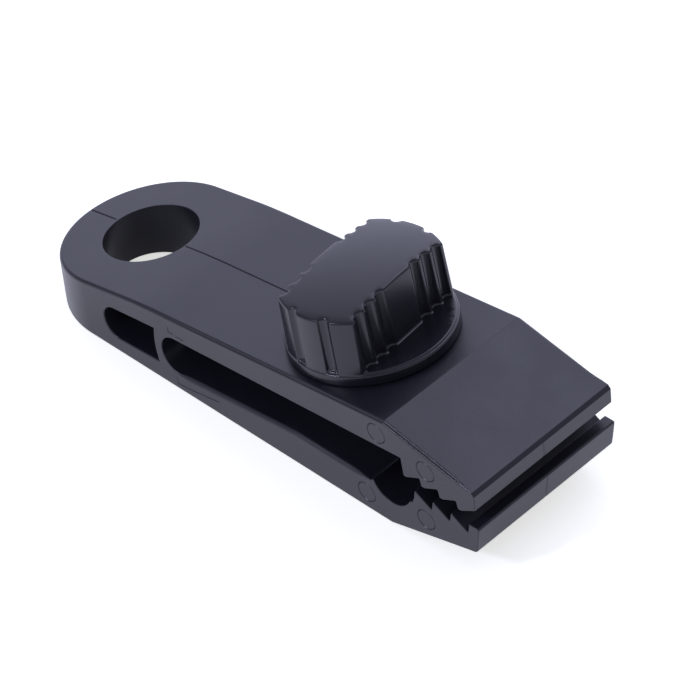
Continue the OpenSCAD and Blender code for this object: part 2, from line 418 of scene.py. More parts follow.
@dataclass(frozen=True)
class ClipSizes:
    """Driving sizes of the moulding, the same as in the part's own drawing."""

    body_w: float = 36.0
    eye_bore_d: float = 19.0
    eye_tube_wall: float = 2.5
    eye_h: float = 13.3
    eye_slope: float = 11.6
    bend_x: float = 16.2
    bend_reach: float = 5.5
    arm_slope: float = 7.5
    reach: float = 102.2
    slot_x: float = 25.3
    slot_z: float = 8.45
    slot_r: float = 4.3
    under_slope: float = 5.6
    floor_z: float = 7.85
    floor_x: float = 56.0
    web_t: float = 2.0
    pocket_x: float = 8.6
    pocket_r: float = 3.7
    pocket_z: float = 7.2
    pocket_roof_slope: float = 8.0
    pocket_floor_slope: float = 3.6
    nose_len: float = 22.2
    nose_slope: float = 11.9
    chin_rise: float = 6.0
    chin_setback: float = 0.9
    lip_setback: float = 0.6
    lip_gap: float = 4.35
    bite_z: float = 13.35
    bite_gap: float = 2.2
    tooth_count: int = 4
    tooth_pitch: float = 4.4
    upper_tooth_h: float = 1.7
    lower_tooth_h: float = 2.3
    tooth_land: float = 0.8
    tooth_rake: float = 0.4
    lip_len: float = 5.1
    tooth_stagger: float = 2.5
    groove_r: float = 4.85
    groove_depth: float = 2.4
    groove_lip: float = 1.2
    ridge_h: float = 0.65
    jaw_open: float = 4.5
    jaw_close: float = 2.2
    hinge_reach: float = 3.2
    screw_x: float = 60.2
    screw_d: float = 5.0
    hex_af: float = 8.0
    nut_h: float = 4.0
    nut_inset: float = 1.6
    hole_clear: float = 0.3
    nut_clear: float = 0.25

    @property
    def half(self) -> float:
        """Half the width across the jaws."""
        return self.body_w / 2.0

    @property
    def hex_r(self) -> float:
        """Radius over the corners of the nut and of the screw's head."""
        return self.hex_af / 2.0 / math.cos(math.radians(30.0))

    @property
    def nose_x(self) -> float:
        """Where the nose and the chin start."""
        return self.reach - self.nose_len

    @property
    def lip_x(self) -> float:
        """Where the upper lip's front face lies."""
        return self.reach - self.lip_setback

    @property
    def upper_tip_z(self) -> float:
        """Height of the upper teeth's tips."""
        return self.bite_z + self.bite_gap / 2.0

    @property
    def lower_tip_z(self) -> float:
        """Height of the lower teeth's tips."""
        return self.bite_z - self.bite_gap / 2.0

    @property
    def upper_tooth_x(self) -> Array:
        """Steep faces of the upper teeth, from the rear one to the front one."""
        back = np.arange(self.tooth_count - 1, -1, -1) * self.tooth_pitch
        return self.reach - self.lip_len - back

    def eye_top(self, x: Any) -> Any:
        """Height of the eye's sloping top face."""
        return self.eye_h + x * rise(self.eye_slope)

    def arm_top(self, x: Any) -> Any:
        """Height of the upper arm's top face."""
        return self.eye_top(self.bend_x) + (x - self.bend_x) * rise(self.arm_slope)

    def arm_under(self, x: Any) -> Any:
        """Height of the upper arm's underside."""
        return self.slot_z + self.slot_r + (x - self.slot_x) * rise(self.under_slope)

    def nose_top(self, x: Any) -> Any:
        """Height of the nose, which falls to the upper lip."""
        return self.arm_top(self.nose_x) - (x - self.nose_x) * rise(self.nose_slope)

    def top(self, x: Array) -> Array:
        """Height of the top line: the eye's slope, a quadratic bend, then the arm's slope.

        Args:
            x: Places along the clip.

        Returns:
            The height at each place.
        """
        first, last = self.bend_x - self.bend_reach, self.bend_x + self.bend_reach
        t = np.clip((x - first) / (last - first), 0.0, 1.0)
        ends = (1 - t) ** 2 * self.eye_top(first) + t**2 * self.arm_top(last)
        bend = ends + 2 * t * (1 - t) * self.eye_top(self.bend_x)
        return np.where(x < first, self.eye_top(x), np.where(x > last, self.arm_top(x), bend))


@dataclass(frozen=True)
class MouldMarks:
    """Rounds of the moulding's edges and the marks that its mould left, in millimetres."""

    top_round: float = 0.7
    slot_round: float = 0.2
    floor_round: float = 0.9
    lip_round: float = 0.35
    base_round: float = 0.35
    bore_round: float = 0.15
    pocket_round: float = 0.3
    round_steps: int = 8
    path_step: float = 1.5
    # The mould's side plates leave a fine step along the top edge, which starts behind the slot
    step_start: float = 14.0
    step_full: float = 32.0
    # The parting line is a fine groove along the middle
    parting_half: float = 0.2
    parting_depth: float = 0.2
    faint_depth: float = 0.055
    lip_depth: float = 0.12
    # Ejector pins leave round marks on the near side: a fine ring round a disc that is sunk less
    pin_r: float = 2.1
    pin_half: float = 0.12
    pin_depth: float = 0.15
    pin_sunk: float = 0.03
    pin_steps: int = 48
    # The slot's core leaves fine lines beside the slot's closed end
    core_half: float = 0.14
    core_depth: float = 0.12
    core_step: float = 0.5

    def step(self, x: Array) -> Array:
        """How far the top edge's step is formed at each X, from zero to one."""
        return np.clip((x - self.step_start) / (self.step_full - self.step_start), 0.0, 1.0)


@dataclass(frozen=True)
class ScrewFrame:
    """The screw's own frame: its axis is Z, and zero is on the upper arm's top face."""

    sizes: ClipSizes
    # How far the knob is turned at rest, and the bed of the screw's head in it
    turn: float = 6.0
    head_bed: float = 3.0
    head_h: float = 3.5

    @property
    def axes(self) -> Array:
        """Rows are the frame's X, Y and Z directions."""
        lean = math.radians(self.sizes.arm_slope)
        cos, sin = math.cos(lean), math.sin(lean)
        return np.array([[cos, 0.0, sin], [0.0, 1.0, 0.0], [-sin, 0.0, cos]])

    @property
    def origin(self) -> Array:
        """Where the axis passes through the upper arm's top face."""
        return np.array([self.sizes.screw_x, 0.0, self.sizes.arm_top(self.sizes.screw_x)])

    @property
    def tip_depth(self) -> float:
        """Depth of the screw's tip and of the nut's lower face."""
        return self.origin[2] / self.axes[2, 2] - self.sizes.nut_inset

    def place(self, local: Array) -> Array:
        """Points of this frame, in the clip's frame."""
        return self.origin + local @ self.axes

    def turned(self, local: Array) -> Array:
        """Turns points of the knob or the screw as far as the knob is turned at rest.

        Args:
            local: Points of this frame, drawn with the grip's flats along Y.

        Returns:
            The points in the clip's frame.
        """
        turn = math.radians(self.turn)
        cos, sin = math.cos(turn), math.sin(turn)
        return self.place(local @ np.array([[cos, sin, 0.0], [-sin, cos, 0.0], [0.0, 0.0, 1.0]]))

    def onto(self, outline: Array, slope: float, height: float) -> Array:
        """Carries an outline along the axis onto a face that slopes along X.

        Args:
            outline: Points of this frame's XY plane.
            slope: Rise of the face for each unit of X.
            height: Height of the face at X = 0.

        Returns:
            The points on the face, in the clip's frame.
        """
        flat = self.place(raised(outline, 0.0))
        climb = self.axes[2, 2] - slope * self.axes[2, 0]
        travel = (height + slope * flat[:, 0] - flat[:, 2]) / climb
        return flat + travel[:, None] * self.axes[2]


@dataclass
class PartingLine:
    """The fine groove that the mould's two halves leave in the plane Y = 0."""

    marks: MouldMarks
    knob_x: float
    lip_x: float

    def depth(self, x: Array) -> Array:
        """Depth of the groove, which is faint between the knob and the lips.

        Args:
            x: Places along the clip.

        Returns:
            The depth at each place.
        """
        m = self.marks
        behind = [x < self.knob_x, x < self.lip_x - m.parting_half]
        return np.select(behind, [m.parting_depth, m.faint_depth], m.lip_depth)

    def rows(self, edge: Array, inward: Array) -> Array:
        """Rows across the clip, from the near edge to the far one, sunk in the middle.

        Args:
            edge: Near ends of the rows; the far ends are their mirror images.
            inward: Directions into the material, in the side view.

        Returns:
            Points of shape (rows, 5, 3).
        """
        view = edge[:, [0, 2]]
        near = across(view, -self.marks.parting_half)
        middle = across(view + self.depth(edge[:, 0])[:, None] * inward, 0.0)
        return np.stack([edge, near, middle, mirrored(near), mirrored(edge)], axis=1)

    def lines(self, start: float, end: float) -> list[Array]:
        """The groove between two places, drawn in plan.

        Args:
            start: X of its first point.
            end: X of its last point.

        Returns:
            Its near edge, its middle and its far edge.
        """
        count = max(2, int(abs(end - start) / self.marks.path_step) + 2)
        inner = np.linspace(start, end, count)
        step = math.copysign(self.marks.parting_half, end - start)
        x = np.unique(np.concatenate([inner, [start + step, end - step]]))
        half = self.marks.parting_half
        return [pairs(x, y) for y in (-half, 0.0, half)]

    def sink(self, points: Array, height: Array, inward: float, *holes: tuple[float, float]) -> Array:
        """Lowers the points of the groove's middle on a face that is filled in plan.

        Args:
            points: Points in plan.
            height: Height of the face at each point.
            inward: 1 where the material is above the face, or -1 where it is below.
            holes: Stretches of X, with a hole in each, that the groove stops before.

        Returns:
            The points in space.
        """
        middle = np.abs(points[:, 1]) < WELD
        for start, end in holes:
            middle &= (points[:, 0] < start - WELD) | (points[:, 0] > end + WELD)
        return raised(points, height + middle * inward * self.depth(points[:, 0]))


@dataclass
class SweptEdge:
    """A side-view path carried across the clip, with the round of its edge at one side.

    face holds the ends of the swept face, corner the sharp edge and wall the foot of the
    round on the clip's side, all on the near side. share is how far a step is formed there.
    """

    path: Array
    inward: Array
    face: Array
    corner: Array
    wall: Array
    share: Array
    steps: int

    @classmethod
    def along(
        cls, path: Array, inward: Array, radii: Array, share: Array, half: float, steps: int
    ) -> "SweptEdge":
        """Makes the edge from a side view.

        Args:
            path: Points (x, z) of the side view.
            inward: Directions into the material at those points.
            radii: Radius of the round at each point.
            share: How far a step is formed in it at each point.
            half: Half the clip's width.
            steps: Straight pieces in the round.

        Returns:
            The near edge.
        """
        face = across(path, radii - half)
        wall = across(path + inward * radii[:, None], -half)
        return cls(path, inward, face, across(path, -half), wall, share, steps)

    def rounds(self) -> Array:
        """Rows of the round, from the swept face to the side."""
        return stepped(self.face, self.corner, self.wall, self.steps, self.share)


@dataclass
class Moulding(Piece):
    """A half of the moulding, with the marks that its mould left."""

    sizes: ClipSizes
    marks: MouldMarks
    # On the near side: middles of the ejector marks, and corners of the fine sunk lines
    pins: ClassVar[Spots]
    core_marks: ClassVar[Paths]

    @property
    def line(self) -> PartingLine:
        """The parting line along its middle."""
        return PartingLine(self.marks, self.sizes.screw_x, self.sizes.lip_x)

    @property
    def screw(self) -> ScrewFrame:
        """The frame of the screw that passes through it."""
        return ScrewFrame(self.sizes)

    def add_side(self, side: Side, loops: Sequence[Array]) -> None:
        """Adds a flat side, with ejector marks and fine sunk lines on the near one.

        Args:
            side: Which of the two sides it is.
            loops: Its outline and its holes, in the side view.
        """
        m, inward, wall_y = self.marks, -side.value, side.value * self.sizes.half
        pins, lines = (self.pins, self._core_lines()) if side is Side.NEAR else ((), [])
        rings = [circle(m.pin_r + m.pin_half, m.pin_steps, *pin) for pin in pins]
        sunk = np.vstack([np.full((1, 2), np.inf), *(line[1:-1] for line in lines[1::3])])

        def place(points: Array) -> Array:
            """Points of the side view on the side."""
            low = (np.abs(points[:, None] - sunk[None]).max(axis=2) < WELD).any(axis=1)
            return across(points, wall_y + low * inward * m.core_depth)

        self.shell.fill([*loops, *rings], place, lines)
        steps = ((m.pin_r, m.pin_depth), (m.pin_r - m.pin_half, m.pin_sunk))
        for pin, ring in zip(pins, rings):
            discs = [(place(circle(radius, m.pin_steps, *pin)), depth) for radius, depth in steps]
            inner = [disc + (0.0, inward * depth, 0.0) for disc, depth in discs]
            self.shell.grid(np.stack([place(ring), *inner]), around=True)
            self.shell.polygon(inner[-1])

    def _core_lines(self) -> list[Array]:
        """Fine lines that a core leaves on the near side.

        Returns:
            One edge, the middle and the other edge of each line, in the side view.
        """
        middles = [densify(np.array(path), self.marks.core_step) for path in self.core_marks]
        edges = [right_normals(middle) * self.marks.core_half for middle in middles]
        return [middle + edge * way for middle, edge in zip(middles, edges) for way in (-1.0, 0.0, 1.0)]

    def flat_face(
        self, edge: SweptEdge, stretch: Numbers, hole: Array, plane: Span, inward: float
    ) -> None:
        """Adds a flat face across the clip, round the hole that the screw passes through.

        Args:
            edge: The side view that it is a part of.
            stretch: Numbers of the side view's points on this face.
            hole: Rim of the hole.
            plane: Slope of the face along X, and its height at X = 0.
            inward: 1 where the material is above the face, or -1 where it is below.
        """
        slope, height = plane
        near, ends = edge.face[stretch, :2], stretch[[0, -1]]
        first, last = self.line.rows(edge.face[ends], edge.inward[ends])[:, 1:4, :2]
        outline = np.vstack([near, last, (near * (1.0, -1.0))[::-1], first[::-1]])
        half = self.marks.parting_half
        stops = (hole[:, 0].min() - half, hole[:, 0].max() + half)
        start, end = np.sort(near[[0, -1], 0])
        self.shell.fill(
            [outline, hole[:, :2]],
            lambda points: self.line.sink(points, height + slope * points[:, 0], inward, stops),
            self.line.lines(start, stops[0]) + self.line.lines(stops[1], end),
        )

    def seam_cap(self, upper: Array, lower: Array) -> None:
        """Closes the half at the seam, across the root of the upper arm.

        Args:
            upper: The near round of the top edge there, from the top face to the side.
            lower: The near round of the slot's edge there, from the slot to the side.
        """
        above = self.line.rows(upper[:1], np.array([[0.0, -1.0]]))[0]
        below = self.line.rows(lower[:1], np.array([[0.0, 1.0]]))[0]
        far = np.vstack([mirrored(upper)[1:], mirrored(lower)[::-1]])
        self.shell.polygon(np.vstack([above, far, below[3:0:-1], lower, upper[:0:-1]]))


@dataclass
class FixedHalf(Moulding):
    """The fixed half of the moulding: the eye, the lower arm, its teeth and its chin."""

    name: ClassVar[str] = "moulded_eye_and_lower_jaw"
    pins: ClassVar[Spots] = ((74.0, 4.0), (89.0, 6.5))
    core_marks: ClassVar[Paths] = (
        ((24.3, 3.1), (24.5, 1.4), (27.6, 1.7), (36.0, 3.3)),
        ((23.6, 15.4), (23.6, 13.95), (25.1, 13.95)),
    )
    arc_steps: int = 40
    bore_steps: int = 96
    slot_steps: int = 29
    groove_steps: int = 25
    hole_steps: int = 17
    # Points round a pocket's rear end, along the eye's tube and along its front end
    pocket_steps: tuple[int, int, int] = (13, 10, 15)
    # The wide round of the floor's edge ends this far before the groove
    floor_stop: float = 2.7
    tooth_round: float = 0.2
    lip_round: float = 0.4
    chin_round: float = 1.0
    base_bend: float = 1.5
    # A pocket's front end is a flat arc, whose middle lies a little above the slot's
    web_r: float = 18.7
    web_rise: float = 0.55

    def add_faces(self) -> None:
        """Adds the edges, the sides and faces between them, the bore, the pockets and the nut's room."""
        top = self._top_edge()
        base = self._base_arc()
        lower = self._lower_edge()
        for rows in (top[0], base[0], lower.rounds()):
            self.shell.twin(rows)
        self._sides(top, base, lower)
        self._top_face(top)
        self._swept_faces(base, lower)
        self._bore()
        self._pockets()
        self._nut_room()
        self.seam_cap(top[0][:, -1], lower.rounds()[:, 0])

    def _plan(self, u: Array, inset: float) -> tuple[Array, Array]:
        """Near side of the plan's outline: a half circle behind the eye, then a straight side.

        Args:
            u: Distance along the outline from the line X = 0, negative behind it.
            inset: Distance in from the outline.

        Returns:
            The X and the Y of the points.
        """
        turn = np.minimum(u, 0.0) / self.sizes.half
        radius = self.sizes.half - inset
        return np.maximum(u, 0.0) + radius * np.sin(turn), -radius * np.cos(turn)

    @property
    def _arc(self) -> Array:
        """Places along the outline from the rear's middle to the line X = 0."""
        rear = -self.sizes.half * math.pi / 2.0
        return np.concatenate([[rear], np.linspace(rear + self.marks.parting_half, 0.0, self.arc_steps)])

    def _top_edge(self) -> tuple[Array, Array]:
        """Rounds the top edge from the rear's middle to the seam.

        Returns:
            Rows of the round, and their places along the outline.
        """
        first = self.sizes.bend_x - self.sizes.bend_reach
        eye = np.linspace(0.0, first, self.arc_steps // 3)[1:]
        bend = np.linspace(first, self.sizes.slot_x, self.arc_steps // 2)[1:]
        u = np.concatenate([self._arc, eye, bend])
        (x_in, y_in), (x, y) = self._plan(u, self.marks.top_round), self._plan(u, 0.0)
        face = xyz(x_in, y_in, self.sizes.top(x_in))
        corner = xyz(x, y, self.sizes.top(x))
        wall = corner - np.array([0.0, 0.0, self.marks.top_round])
        self._notch(face, corner, wall, -1.0)
        return stepped(face, corner, wall, self.marks.round_steps, self.marks.step(u)), u

    def _base_arc(self) -> tuple[Array, Array]:
        """Rounds the base's edge behind the line X = 0.

        Returns:
            Rows of the round, and their places along the outline.
        """
        (x_in, y_in), (x, y) = self._plan(self._arc, self.marks.base_round), self._plan(self._arc, 0.0)
        face, corner = xyz(x_in, y_in, 0.0), xyz(x, y, 0.0)
        wall = corner + np.array([0.0, 0.0, self.marks.base_round])
        self._notch(face, corner, wall, 1.0)
        return conic(face, corner, wall, self.marks.round_steps), self._arc

    def _notch(self, face: Array, corner: Array, wall: Array, inward: float) -> None:
        """Sinks the rear's middle for the parting line, in place.

        Args:
            face: Ends of a round on the flat face.
            corner: The sharp edge.
            wall: Ends of the round on the rear wall.
            inward: 1 where the material is above the flat face, or -1 where it is below.
        """
        depth = self.marks.parting_depth
        face[0, 2] += inward * depth
        corner[0] += np.array([depth, 0.0, inward * depth])
        wall[0, 0] += depth

    def _lower_edge(self) -> SweptEdge:
        """Draws the side view from the seam over the slot, the floor, the teeth and the chin to X = 0.

        Returns:
            The view with its near edge.
        """
        s, m = self.sizes, self.marks
        turn = np.radians(np.linspace(90.0, 270.0, self.slot_steps))
        slot = np.array([s.slot_x, s.slot_z]) + s.slot_r * ray(turn)
        half_rake = s.tooth_rake / 2.0
        steep = s.upper_tooth_x + s.tooth_stagger
        valley_x = steep[0] - half_rake
        groove_z = s.floor_z - s.groove_depth + s.groove_r
        ridge_z = s.floor_z + s.ridge_h
        groove_half = math.sqrt(s.groove_r**2 - (groove_z - ridge_z) ** 2)
        groove_x = valley_x - s.groove_lip - groove_half
        start = math.atan2(ridge_z - groove_z, -groove_half) + 2.0 * math.pi
        turn = np.linspace(start, 3.0 * math.pi - start, self.groove_steps)
        groove = np.array([groove_x, groove_z]) + s.groove_r * ray(turn)
        valleys = pairs(steep - half_rake, s.lower_tip_z - s.lower_tooth_h)
        tips = pairs(steep + half_rake, s.lower_tip_z)
        teeth = np.stack([valleys, tips], axis=1).reshape(-1, 2)
        ridge = groove_x - groove_half
        parts = [
            (slot, 0.0),
            (np.array([[s.floor_x, s.floor_z]]), 0.0),
            (np.array([[ridge - s.ridge_h, s.floor_z]]), s.ridge_h / 2.0),
            (groove[:1], self.tooth_round),
            (groove[1:-1], 0.0),
            (groove[-1:], self.tooth_round),
            (np.array([[valley_x - s.tooth_rake, ridge_z + s.tooth_rake]]), 0.0),
            (teeth, self.tooth_round),
            (np.array([[s.reach, s.lower_tip_z]]), self.lip_round),
            (np.array([[s.reach - s.chin_setback, s.chin_rise]]), self.chin_round),
            (np.array([[s.nose_x, 0.0]]), self.base_bend),
            (np.array([[0.0, 0.0]]), 0.0),
        ]
        corners = np.vstack([points for points, _ in parts])
        radii = np.concatenate([np.full(len(points), radius) for points, radius in parts])
        path = densify(rounded_path(corners, radii), m.path_step)
        inward = right_normals(path)
        floor, base = self._floor_and_base(path)
        inward[floor[[0, -1]]] = (0.0, -1.0)
        inward[base[[0, -1]]] = (0.0, 1.0)
        inward[0] = (0.0, 1.0)
        behind_lip = (path[:, 1] < s.chin_rise) & (np.arange(len(path)) > len(path) // 2)
        along_floor = (path[:, 0] > s.slot_x) & (path[:, 0] < ridge - self.floor_stop)
        open_floor = along_floor & (path[:, 1] < s.slot_z) & ~behind_lip
        radii = np.select([behind_lip, open_floor], [m.base_round, m.floor_round], m.slot_round)
        radii = eased(path, radii, m.path_step)
        radii[0] = m.slot_round
        return SweptEdge.along(path, inward, radii, np.zeros(len(path)), s.half, m.round_steps)

    def _floor_and_base(self, path: Array) -> tuple[Numbers, Numbers]:
        """Numbers of the path's points on the slot's flat floor and on the base."""
        on_floor = (np.abs(path[:, 1] - self.sizes.floor_z) < WELD) & (path[:, 0] < self.sizes.nose_x)
        return np.flatnonzero(on_floor), np.flatnonzero(np.abs(path[:, 1]) < TINY)

    def _sides(self, top: tuple[Array, Array], base: tuple[Array, Array], lower: SweptEdge) -> None:
        """Adds the two flat sides and the round rear wall.

        Args:
            top: Round of the top edge, and its places along the outline.
            base: Round of the base's edge, and its places along the outline.
            lower: The side view below the seam.
        """
        straight = top[1] >= -TINY
        upper = top[0][-1]
        self.shell.twin(np.stack([upper[: len(self._arc)], base[0][-1]]))
        outline = np.vstack([upper[straight], lower.wall])[:, [0, 2]]
        pocket = self._pocket_loop()[0]
        rim = pocket - self.marks.pocket_round * right_normals(pocket, closed=True)
        for side in Side:
            self.add_side(side, [outline, rim])

    def _top_face(self, top: tuple[Array, Array]) -> None:
        """Adds the eye's flat top round its bore, and the bend in front of it.

        Args:
            top: Round of the top edge, and its places along the outline.
        """
        s, m = self.sizes, self.marks
        edge = top[0][0]
        count = int(np.argmin(np.abs(top[1] - (s.bend_x - s.bend_reach)))) + 1
        down = np.tile([0.0, -1.0], (len(edge) - count + 1, 1))
        rows = self.line.rows(edge[count - 1 :], down)
        self.shell.grid(rows)
        eye = edge[:count, :2]
        outline = np.vstack([eye, rows[0, 1:4, :2], (eye * (1.0, -1.0))[:0:-1]])
        rim_r = s.eye_bore_d / 2.0 + m.bore_round
        stop = rim_r + m.parting_half
        lines = self.line.lines(-stop, edge[0, 0]) + self.line.lines(stop, edge[count - 1, 0])
        lines = [line[np.abs(line[:, 0] - edge[0, 0]) > m.parting_half / 2.0] for line in lines]

        def place(points: Array) -> Array:
            """Points of the plan on the eye's slope."""
            return self.line.sink(points, s.eye_top(points[:, 0]), -1.0, (-stop, stop))

        self.shell.fill([outline, circle(rim_r, self.bore_steps)], place, lines)

    def _swept_faces(self, base: tuple[Array, Array], lower: SweptEdge) -> None:
        """Adds the slot, its floor round the screw, the teeth, the lip, the chin and the base.

        Args:
            base: Round of the base's edge, and its places along the outline.
            lower: The side view below the seam.
        """
        s, m = self.sizes, self.marks
        floor, bottom = self._floor_and_base(lower.path)
        rows = self.line.rows(lower.face, lower.inward)
        self.shell.grid(rows[: floor[0] + 1])
        self.shell.grid(rows[floor[-1] : bottom[0] + 1])
        hole = self.screw.onto(self._screw_slot(), 0.0, s.floor_z)
        self.flat_face(lower, floor, hole, (0.0, s.floor_z), -1.0)
        near = np.vstack([lower.face[bottom, :2], base[0][0][-2::-1, :2]])
        outline = np.vstack([near, (near * (1.0, -1.0))[-2::-1], rows[bottom[0], 3:0:-1, :2]])
        room = self.screw.onto(self._room_outline(), 0.0, 0.0)[:, :2]
        rim_r = s.eye_bore_d / 2.0 + m.bore_round
        bore = rim_r + m.parting_half
        stops = (room[:, 0].min() - m.parting_half, room[:, 0].max() + m.parting_half)
        spans = [(near[0, 0], stops[1]), (stops[0], bore), (-bore, near[-1, 0])]
        lines = [line for span in spans for line in self.line.lines(*span)]
        lines = [line[np.abs(line[:, 0] - near[-1, 0]) > m.parting_half / 2.0] for line in lines]
        self.shell.fill(
            [outline, room, circle(rim_r, self.bore_steps)],
            lambda points: self.line.sink(points, np.zeros(len(points)), 1.0, stops, (-bore, bore)),
            lines,
        )

    def _bore(self) -> None:
        """Adds the eye's bore with a small round at both rims."""
        s, m = self.sizes, self.marks
        wall = circle(s.eye_bore_d / 2.0, self.bore_steps)
        rim = circle(s.eye_bore_d / 2.0 + m.bore_round, self.bore_steps)
        top, base = raised(wall, s.eye_top(wall[:, 0])), raised(wall, 0.0)
        drop = np.array([0.0, 0.0, m.bore_round])
        upper = conic(raised(rim, s.eye_top(rim[:, 0])), top, top - drop, m.round_steps)
        lower = conic(base + drop, base, raised(rim, 0.0), m.round_steps)
        self.shell.grid(np.concatenate([upper, lower]), around=True)

    def _pocket_loop(self) -> tuple[Array, int, int]:
        """Side view of a pocket, clockwise from its rear end.

        Its roof and floor have points above each other as far as the front of the eye's tube.

        Returns:
            The loop, and the numbers of the roof's and the floor's points at the tube's front.
        """
        s = self.sizes
        tube_r = s.eye_bore_d / 2.0 + s.eye_tube_wall
        rear_steps, tube_steps, web_steps = self.pocket_steps
        lean = np.linspace(0.0, math.pi / 2.0, rear_steps)
        turn = np.linspace(math.acos(s.pocket_x / tube_r), 0.0, tube_steps)[1:]
        x = np.concatenate([s.pocket_x - s.pocket_r * np.cos(lean), tube_r * np.cos(turn)])
        height = s.pocket_r * np.sin(np.concatenate([lean, np.full(len(turn), math.pi / 2.0)]))
        run = np.maximum(x - s.pocket_x, 0.0)
        roof = pairs(x, s.pocket_z + height + run * rise(s.pocket_roof_slope))
        floor = pairs(x, s.pocket_z - height + run * rise(s.pocket_floor_slope))
        centre_x = s.slot_x - s.slot_r - s.web_t + self.web_r
        centre = np.array([centre_x, s.slot_z + self.web_rise])
        starts = ((roof[-1], s.pocket_roof_slope), (floor[-1], s.pocket_floor_slope))
        ends = [self._meet(point, rise(slope), centre, self.web_r) for point, slope in starts]
        angles = [math.atan2(*(end - centre)[::-1]) % (2.0 * math.pi) for end in ends]
        web = centre + self.web_r * ray(np.linspace(angles[0], angles[1], web_steps))
        front = densify(np.vstack([roof[-1:], web[:1]]), self.marks.path_step)[1:-1]
        under = densify(np.vstack([web[-1:], floor[-1:]]), self.marks.path_step)[1:-1]
        loop = np.vstack([roof, front, web, under, floor[:0:-1]])
        return loop, len(roof) - 1, len(loop) - len(floor) + 1

    @staticmethod
    def _meet(point: Array, slope: float, centre: Array, radius: float) -> Array:
        """Finds where a line first meets a circle ahead of it.

        Args:
            point: Where the line starts.
            slope: Its rise for each unit along it.
            centre: The circle's middle.
            radius: The circle's radius.

        Returns:
            The first point that they share.
        """
        step = unit(np.array([1.0, slope]))
        gap = centre - point
        along = float(gap @ step)
        return point + step * (along - math.sqrt(radius**2 - float(gap @ gap) + along**2))

    def _pockets(self) -> None:
        """Adds the pockets: their rims, the eye's tube between them and the way through before it."""
        s, m = self.sizes, self.marks
        loop, roof_end, floor_end = self._pocket_loop()
        tube_r = s.eye_bore_d / 2.0 + s.eye_tube_wall
        wall = across(loop - m.pocket_round * right_normals(loop, closed=True), -s.half)
        face = across(loop, m.pocket_round - s.half)
        tube = across(loop, -np.sqrt(np.maximum(tube_r**2 - loop[:, 0] ** 2, 0.0)))
        rim = conic(wall, across(loop, -s.half), face, m.round_steps)
        back = np.concatenate([np.arange(floor_end, len(loop)), np.arange(roof_end + 1)])
        low = np.concatenate([[0], np.arange(len(loop) - 1, floor_end - 1, -1)])
        bare = np.stack([tube[: roof_end + 1], tube[low]])
        for rows, around in ((rim, True), (np.stack([face[back], tube[back]]), False), (bare, False)):
            self.shell.twin(rows, around)
        through = slice(roof_end, floor_end + 1)
        middle = across(loop[through], 0.0)
        self.shell.grid(np.stack([face[through], middle, mirrored(face[through])]))

    @property
    def _swing(self) -> tuple[float, float]:
        """How far the screw's tip swings back and forward as the jaw closes and opens."""
        s = self.sizes
        hinge_x = s.slot_x + s.hinge_reach
        hinge = np.array([hinge_x, 0.0, (s.arm_top(hinge_x) + s.arm_under(hinge_x)) / 2.0])
        depth = float((self.screw.origin - hinge) @ self.screw.axes[2])
        swing = self.screw.tip_depth - depth
        return swing * math.sin(math.radians(s.jaw_close)), swing * math.sin(math.radians(s.jaw_open))

    def _room_outline(self) -> Array:
        """Plan of the nut's room.

        Returns:
            Its corners in the screw's frame.
        """
        s = self.sizes
        back, front = self._swing
        wall = s.hex_af / 2.0 + s.nut_clear
        rear, fore = -(s.hex_r + back + s.nut_clear), s.hex_r + front + s.nut_clear
        return np.array([[rear, -wall], [fore, -wall], [fore, wall], [rear, wall]])

    def _screw_slot(self) -> Array:
        """Plan of the slot that the screw swings in.

        Returns:
            Points of its outline in the screw's frame.
        """
        back, front = self._swing
        radius = self.sizes.screw_d / 2.0 + self.sizes.hole_clear
        end = radius * ray(np.radians(np.linspace(-90.0, 90.0, self.hole_steps)))
        return np.vstack([end + (front, 0.0), -end - (back, 0.0)])

    def _nut_room(self) -> None:
        """Adds the nut's room under the floor and the slot above it."""
        s = self.sizes
        room, hole = self._room_outline(), self._screw_slot()
        tilt = s.hex_r * math.sin(math.radians(s.jaw_open))
        roof_z = -(self.screw.tip_depth - s.nut_h - tilt - s.nut_clear)

        def place(points: Array) -> Array:
            """Points of the roof."""
            return self.screw.place(raised(points, roof_z))

        self.shell.grid(np.stack([self.screw.onto(room, 0.0, 0.0), place(room)]), around=True)
        self.shell.fill([room, hole], place)
        self.shell.grid(np.stack([place(hole), self.screw.onto(hole, 0.0, s.floor_z)]), around=True)


